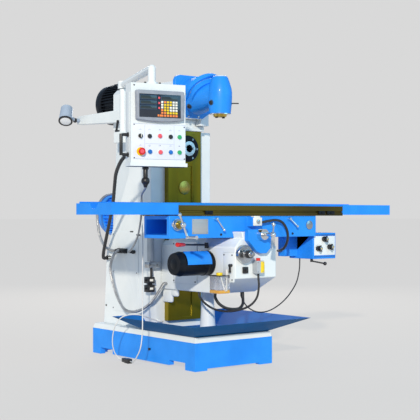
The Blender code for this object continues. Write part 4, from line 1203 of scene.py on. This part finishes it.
def makeTank():
    low, high = Vector(tank["low"]), Vector(tank["high"])
    bm = bmesh.new()
    addBlock(bm, low + Vector((0, 0, 0.019)), high - Vector((0, 0, 0.004)), 0.006)
    finishPiece(bm, "tankBody", "tankPlastic", "knee", ["lubricator_tank"])
    bm = bmesh.new()
    addBlock(bm, low, (high.x, high.y, tank["oilTop"]), 0.005)
    finishPiece(bm, "tankOil", "amberOil", "knee")
    bm = bmesh.new()
    addRod(bm, *tank["cap"], segments=28, edge=0.003)
    finishPiece(bm, "tankCap", "yellowPlastic", "knee")
    bm = bmesh.new()
    addRod(bm, *tank["pump"], segments=20, edge=0.001)
    addRods(bm, tank["tubes"], segments=12)
    finishPiece(bm, "tankTubes", "lightSheath", "knee")
    bm = bmesh.new()
    for corners in tank["clips"]:
        addBlock(bm, *corners, 0.0004)
    addBlock(bm, *tank["strap"], 0.001)
    finishPiece(bm, "tankStraps", "blackPlastic", "knee")


switchBox = {
    "face": ((0.001, -0.7535, 0.584), (0.0295, -0.732, 0.651)),
    "screws": [((x, -0.752, z), (x, -0.7545, z), 0.003) for x in (-0.02, 0.018) for z in (0.59, 0.645)],
}


def dressSwitchBox():
    bm = bmesh.new()
    addBlock(bm, *switchBox["face"], 0.003)
    finishPiece(bm, "switchFace", "yellowPlastic", "knee")
    bm = bmesh.new()
    addRods(bm, switchBox["screws"], **smallHead)
    finishPiece(bm, "switchScrews", "turnedSteel", "knee")


dressKnee()
makeTank()
dressSwitchBox()
print("knee dressed")


# saddle, gearbox and cranks

beam = {
    "front": -0.627,
    "plate": (-0.4127, 0.8139, -0.296, 0.9011),
    "plateThick": 0.002,
    "rivetInset": 0.008,
    "capPlace": (0.513, 0.862),
    "screwsAcross": (-0.2, 0.2, 0.37),
    "screwHeight": 0.81,
    "screw": (0.0035, 0.007, 0.005),
}
feedSwitch = {
    "box": ((0.006, -0.681, 0.86), (0.074, -0.6753, 0.909)),
    "lid": ((0.016, -0.676, 0.906), (0.064, -0.645, 0.918)),
    "button": ((0.04, -0.681, 0.885), (0.04, -0.69, 0.885), 0.012),
}


def dressSaddle():
    front = beam["front"]
    left, low, right, high = beam["plate"]
    bm = bmesh.new()
    addBlock(bm, (left, front - beam["plateThick"], low), (right, front - seat, high), 0.0008)
    finishPiece(bm, "beamPlate", "brushedPlate", "saddle")
    bm = bmesh.new()
    inset = beam["rivetInset"]
    for x in (left + inset, right - inset):
        for z in (low + inset, high - inset):
            addRod(bm, (x, front - 0.0019, z), (x, front - 0.0034, z), 0.003, **smallHead)
    finishPiece(bm, "beamRivets", "turnedSteel", "saddle")
    bm = bmesh.new()
    addBlock(bm, *feedSwitch["box"], 0.003)
    addBlock(bm, *feedSwitch["lid"], 0.002)
    finishPiece(bm, "feedSwitch", "creamPlastic", "saddle")
    bm = bmesh.new()
    addRod(bm, *feedSwitch["button"], segments=28, edge=0.0015)
    x, z = beam["capPlace"]
    addRod(bm, (x, front - seat, z), (x, front - 0.006, z), 0.028, segments=40, edge=0.0015)
    finishPiece(bm, "beamCaps", "turnedSteel", "saddle")
    bm = bmesh.new()
    for x in beam["screwsAcross"]:
        addRing(bm, (x, front - seat, beam["screwHeight"]), (0, -1, 0), *beam["screw"], 20)
    finishPiece(bm, "beamScrews", "blackSheath", "saddle")


# rings: place, inner and outer radius, thickness
cranks = {
    "dial": ((-0.53, -0.6476, 0.869), (0.0135, 0.031, 0.016)),
    "collar": ((-0.53, -0.6638, 0.869), (0.0145, 0.0225, 0.0035)),
    "dialSleeve": ((-0.104, -0.7585, 0.696), (0.0192, 0.0235, 0.026)),
    "leverHinge": (-0.1725, -0.456, 0.745),
    "leverTip": (-0.48, -0.575, 0.754),
    "grip": (0.775, 1.003),  # from and to, as shares of the lever's length
    "gripRadius": (0.0112, 0.0128),
}


def dressCranks():
    for name, coat, body, slot, key in (
        ("crankDial", "turnedSteel", "traverse_crank", "chrome", "dial"),
        ("crankCollar", "oiledBrass", "traverse_crank", "chrome", "collar"),
        ("dialSleeve", "blackSheath", "elevating_dial", "steel", "dialSleeve"),
    ):
        place, sizes = cranks[key]
        bm = bmesh.new()
        addRing(bm, place, (0, -1, 0), *sizes, 40)
        finishPiece(bm, name, coat, body)
    hinge, tip = Vector(cranks["leverHinge"]), Vector(cranks["leverTip"])
    bm = bmesh.new()
    ends = [hinge.lerp(tip, share) for share in cranks["grip"]]
    addRod(bm, *ends, *cranks["gripRadius"], edge=0.002)
    finishPiece(bm, "leverGrip", "redPlastic", "rapid_lever")


gearbox = {
    "front": -0.6,
    "panel": (0.583, 0.668, 0.767, 0.79),
    "stripsLow": (0.655, 0.7925),
    "stripHigh": 0.0095,
    "stripOver": 0.002,
    "dials": ((0.666, 0.771), (0.714, 0.72), (0.612, 0.712)),
    "dots": {"count": 7, "from": -75, "step": 25, "reach": 0.0235, "radius": 0.0014},
    "knobs": ("speed_knob_upper", "speed_knob_middle", "speed_knob_lower"),
    "knobDisc": 0.62,  # share of the knob's radius
    "knobDot": 0.22,
}


def dressGearbox():
    front = gearbox["front"]
    left, low, right, high = gearbox["panel"]
    bm = bmesh.new()
    addBlock(bm, (left, front - 0.0024, low), (right, front - 0.0004, high), 0.0008)
    finishPiece(bm, "gearboxPanel", "whiteEnamel", "saddle")
    bm = bmesh.new()
    over = gearbox["stripOver"]
    for height in gearbox["stripsLow"]:
        top = height + gearbox["stripHigh"]
        addBlock(bm, (left - over, front - 0.0026, height), (right + over, front - 0.0004, top), 0.0006)
    finishPiece(bm, "gearboxStrips", "bluePlastic", "saddle")
    bm = bmesh.new()
    dots = gearbox["dots"]
    for x, z in gearbox["dials"]:
        for i in range(dots["count"]):
            swing = Matrix.Rotation(math.radians(dots["from"] + dots["step"] * i), 4, "Y")
            ends = [(0, depth, dots["reach"]) for depth in (-0.0024, -0.0029)]
            addRod(bm, *ends, dots["radius"], segments=8, place=Matrix.Translation((x, front, z)) @ swing)
    finishPiece(bm, "gearboxDots", "darkScreen", "saddle")
    for node in gearbox["knobs"]:
        low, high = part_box(node)
        x, z = (low[0] + high[0]) / 2, (low[2] + high[2]) / 2
        radius = min(high[0] - low[0], high[2] - low[2]) / 2
        bm = bmesh.new()
        ends = [(x, low[1] - height, z) for height in (0.0002, 0.0016)]
        addRod(bm, *ends, radius * gearbox["knobDisc"], segments=28, edge=0.0004)
        finishPiece(bm, node + "Disc", "turnedSteel", node)
        bm = bmesh.new()
        ends = [(x, low[1] - height, z) for height in (0.0015, 0.0024)]
        addRod(bm, *ends, radius * gearbox["knobDot"], segments=20, edge=0.0003)
        finishPiece(bm, node + "Dot", "yellowPlastic", node)


dressSaddle()
dressCranks()
dressGearbox()
print("saddle and gearbox dressed")


# pendant, in its own frame: x across its face, y inwards, z up

console = {
    "corners": (-0.147, 1.461, 0.152, 1.64),
    "deep": 0.03,
    "cornerRadius": 0.012,
    "sag": 0.011,  # how much its lower edge bows
    "screen": (-0.1305, 1.484, 0.127, 1.6175),
    "windows": [
        (-0.124, 1.5885, -0.025, 1.6085), (-0.124, 1.5595, -0.025, 1.5785), (-0.124, 1.531, -0.025, 1.55),
        (0.006, 1.5845, 0.1075, 1.6055)],
    "windowRim": 0.0016,
    "axisKeys": [(-0.0094, 1.597), (-0.0094, 1.567), (-0.0094, 1.5385)],
    "axisKeyHalf": (0.0052, 0.0058),
    "keyAcross": (0.0095, 0.0275, 0.0452, 0.063, 0.0808, 0.0985),
    "keyUp": (1.5736, 1.558, 1.5424, 1.5268, 1.5112, 1.4956),
    "keyHalf": (0.0066, 0.0058),
    "spareKeys": [(-0.0135, 1.4956), (-0.0005, 1.4956)],
    "spareKeyHalf": (0.005, 0.0058),
}
# c is cream, y yellow, o orange
keyRows = ("coyycc", "cyyycc", "cyyccc", "oyyccc", "ooyyyy", "oooooo")
keySlots = {"creamPlastic": "light_cable", "yellowPlastic": "yellow_plastic", "orangePlastic": "yellow_plastic"}


def slab(bm, corners, near, far, edge=0.0004):
    left, low, right, high = corners
    addBlock(bm, (left, near, low), (right, far, high), edge, pendantPlace)


def slabRound(bm, middle, half, near, far, edge):
    (x, z), (wide, tall) = middle, half
    slab(bm, (x - wide, z - tall, x + wide, z + tall), near, far, edge)


def onPendant(bm, name, coat, nodes=(), body="pendant"):
    return finishPiece(bm, name, coat, body, nodes)


def makeConsole():
    left, low, right, high = console["corners"]
    deep, radius = console["deep"], console["cornerRadius"]
    middle, reach = (left + right) / 2, (right - left) / 2 - 0.004
    points = [(middle - reach + 2 * reach * i / 16, low + console["sag"] * (i / 8 - 1) ** 2) for i in range(17)]
    points += arcPoints((right - radius, high - radius), radius, 0, 90, 6)
    points += arcPoints((left + radius, high - radius), radius, 90, 180, 6)
    bm = bmesh.new()
    addOutline(bm, points, "y", -deep, -seat)
    rim = [e for e in bm.edges if all(abs(v.co.y + deep) < 0.0001 for v in e.verts)]
    breakCorners(bm, rim, 0.005, segments=3)
    bmesh.ops.transform(bm, matrix=pendantPlace, verts=bm.verts)
    onPendant(bm, "consoleBody", "greyPlastic", ["display_console"])
    bm = bmesh.new()
    slab(bm, console["screen"], -0.0316, -0.0298, 0.0008)
    onPendant(bm, "consolePanel", "darkScreen")
    bm = bmesh.new()
    rim = console["windowRim"]
    for near, under, far, over in console["windows"]:
        slab(bm, (near - rim, under - rim, far + rim, over + rim), -0.0322, -0.0314)
    onPendant(bm, "windowRims", "navyTrimAndPaintedShade")
    bm = bmesh.new()
    for window in console["windows"]:
        slab(bm, window, -0.0326, -0.032, 0.0002)
    onPendant(bm, "displayWindows", "displayGlass")
    bm = bmesh.new()
    for key in console["axisKeys"]:
        slabRound(bm, key, console["axisKeyHalf"], -0.0345, -0.0314, 0.001)
    onPendant(bm, "axisKeys", "rosePlastic")
    for coat, slot in keySlots.items():
        bm = bmesh.new()
        for z, row in zip(console["keyUp"], keyRows):
            for x, key in zip(console["keyAcross"], row):
                if coat.startswith(key):
                    slabRound(bm, (x, z), console["keyHalf"], -0.0345, -0.0314, 0.001)
        for key in console["spareKeys"] if coat == "orangePlastic" else ():
            slabRound(bm, key, console["spareKeyHalf"], -0.0345, -0.0314, 0.001)
        onPendant(bm, coat + "Keys", coat)


plate = {
    "corners": (-0.158, 1.245, 0.168, 1.448),
    "screws": [(-0.152, 1.442), (0.161, 1.436), (-0.151, 1.2515), (0.162, 1.2505)],
    "pips": [(0.0073, 1.418), (0.0106, 1.327), (-0.055, 1.319), (0.13, 1.325)],
    "lamps": [(0.0073, 1.38), (0.0106, 1.287)],
    # the first three are printed dividing lines; the last two, along the plate's bottom and top edges, are painted
    # shade
    "lines": [
        (-0.0875, 1.253, -0.0863, 1.442), (0.0963, 1.253, 0.0975, 1.442), (-0.083, 1.3337, 0.093, 1.3349),
        (-0.158, 1.245, 0.168, 1.2462), (-0.158, 1.4468, 0.168, 1.448)],
    "ticksAcross": (-0.114, -0.057, 0.0073, 0.074, 0.13),
    "ticksUp": (1.413, 1.3225),
    # x, z and outer radius of each button's rim
    "rims": [
        (-0.114, 1.3775, 0.0185), (-0.057, 1.3775, 0.0165), (0.074, 1.3775, 0.0165), (0.13, 1.3775, 0.0165),
        (-0.055, 1.288, 0.0165), (0.074, 1.288, 0.0165), (0.13, 1.288, 0.0165), (0.0073, 1.38, 0.0165),
        (0.0106, 1.287, 0.0165)],
    "rimInner": 0.0129,
    "stop": (-0.112, 1.288),
    "stopRing": (0.0131, 0.0245, 0.0022),
    "stopDisc": [(0.0, 0), (0.0115, 0), (0.0115, 0.001), (0.0, 0.0022)],
    "mark": (-0.1158, 1.3705, -0.1122, 1.3895),
    "topBolts": [((x, 0.012, 1.6815), (x, 0.012, 1.691), 0.0065) for x in (-0.078, 0.013)],
    "topPin": ((-0.152, -0.0003, 1.668), (-0.152, -0.004, 1.668), 0.004),
}


def drawPlateLines():
    bm = bmesh.new()
    for corners in plate["lines"]:
        slab(bm, corners, -0.0026, -0.002, 0)
    for x in plate["ticksAcross"]:
        for z in plate["ticksUp"]:
            slab(bm, (x - 0.008, z, x + 0.008, z + 0.0014), -0.0026, -0.002, 0)
            slab(bm, (x - 0.0045, z + 0.0045, x + 0.0045, z + 0.0056), -0.0026, -0.002, 0)
    onPendant(bm, "plateLinesAndEdgeShade", "greyPrintAndShadeLine")


def makeControlPlate():
    outwards = pendantPlace.to_3x3() @ Vector((0, -1, 0))
    bm = bmesh.new()
    slab(bm, plate["corners"], -0.0022, -seat, 0.0006)
    onPendant(bm, "controlPlate", "lilacPlate")
    drawPlateLines()
    bm = bmesh.new()
    for x, z in plate["screws"]:
        addRod(bm, (x, -0.002, z), (x, -0.0048, z), 0.0036, **roundHead, place=pendantPlace)
    for x, z in plate["pips"]:
        addRod(bm, (x, -0.002, z), (x, -0.0027, z), 0.0019, segments=12, place=pendantPlace)
    addRods(bm, plate["topBolts"], **hexHead, place=pendantPlace)
    addRod(bm, *plate["topPin"], **roundHead, place=pendantPlace)
    onPendant(bm, "pendantScrews", "blackSheath")
    bm = bmesh.new()
    for x, z in plate["lamps"]:
        addRod(bm, (x, -0.002, z), (x, -0.012, z), 0.0128, segments=28, edge=0.003, place=pendantPlace)
    onPendant(bm, "indicatorLamps", "rosePlastic")
    bm = bmesh.new()
    for x, z, outer in plate["rims"]:
        addRing(bm, pendantPlace @ Vector((x, -0.002, z)), outwards, plate["rimInner"], outer, 0.0026, 28)
    onPendant(bm, "buttonRims", "whiteEnamel")
    x, z = plate["stop"]
    bm = bmesh.new()
    addRing(bm, pendantPlace @ Vector((x, -0.002, z)), outwards, *plate["stopRing"], 36)
    onPendant(bm, "stopRing", "yellowPlastic")
    bm = bmesh.new()
    slab(bm, plate["mark"], -0.0212, -0.0196, 0.0003)
    onPendant(bm, "selectorMark", "creamPlastic", body="mode_selector")
    bm = bmesh.new()
    addTurned(bm, plate["stopDisc"], pendantPlace @ Vector((x, -0.0279, z)), outwards, 28)
    onPendant(bm, "stopCentre", "rosePlastic", body="emergency_stop")


grip = {
    "out": 0.045,  # how far the handle stands off the box's side
    "in": 0.04,
    "heights": (1.385, 1.27),
    "gland": (-0.064, 0.0425),
    "conduit": (-0.12, 1.29),
    # floor: bottom and top of the navy slab that paints shade under the box
    "floor": (1.2022, 1.2036),
    "cover": (1.26, 1.63),
    "coverScrews": (1.3, 1.46, 1.6),
}
sleeve = {"segments": 20, "edge": 0.001, "place": pendantPlace}
nut = {"segments": 6, "edge": 0.001, "place": pendantPlace}


def dressPendant():
    half, deep = pendant["half"], pendant["deep"]
    # painted shade: a thin navy slab under the box stands for its shaded underside
    bm = bmesh.new()
    low, high = grip["floor"]
    slab(bm, (-half - 0.003, low, half + 0.003, high), -0.007, deep - 0.015, 0.0004)
    onPendant(bm, "pendantUndersideShade", "navyTrimAndPaintedShade")
    bm = bmesh.new()
    across, into = -half - grip["out"], grip["in"]
    for z in grip["heights"]:
        addRod(bm, (-half + 0.001, into, z), (across, into, z), 0.0095, segments=20, place=pendantPlace)
        addRod(bm, (-half - 0.0004, into, z), (-half - 0.006, into, z), 0.0145, **sleeve)
        addBall(bm, (across, into, z), 0.0098, pendantPlace)
    addRod(bm, (across, into, 1.265), (across, into, 1.39), 0.0099, segments=20, edge=0.002, place=pendantPlace)
    x, y = grip["gland"]
    addRod(bm, (x, y, 1.2026), (x, y, 1.188), 0.0185, **nut)
    addRod(bm, (x, y, 1.19), (x, y, 1.13), 0.0135, **sleeve)
    addBall(bm, (x, y, 1.121), 0.0245, pendantPlace)
    addRod(bm, (x, y, 1.105), (x, y, 1.083), 0.016, 0.0085, **sleeve)
    x, z = grip["conduit"]
    addRod(bm, (x, deep, z), (x, deep + 0.0205, z), 0.0175, **nut)
    addRod(bm, (x, deep + 0.02, z), (x, deep + 0.045, z), 0.015, 0.0128, **sleeve)
    onPendant(bm, "pendantGrip", "blackPlastic")
    bm = bmesh.new()
    low, high = grip["cover"]
    slab(bm, (-half - 0.0018, low, -half - seat, high), 0.012, deep - 0.012, 0.0008)
    for z in grip["coverScrews"]:
        addRod(bm, (-half - 0.0015, 0.018, z), (-half - 0.0035, 0.018, z), 0.0032, **smallHead, place=pendantPlace)
    onPendant(bm, "pendantSideCover", "whiteEnamel")


makeConsole()
makeControlPlate()
dressPendant()
print("pendant dressed")
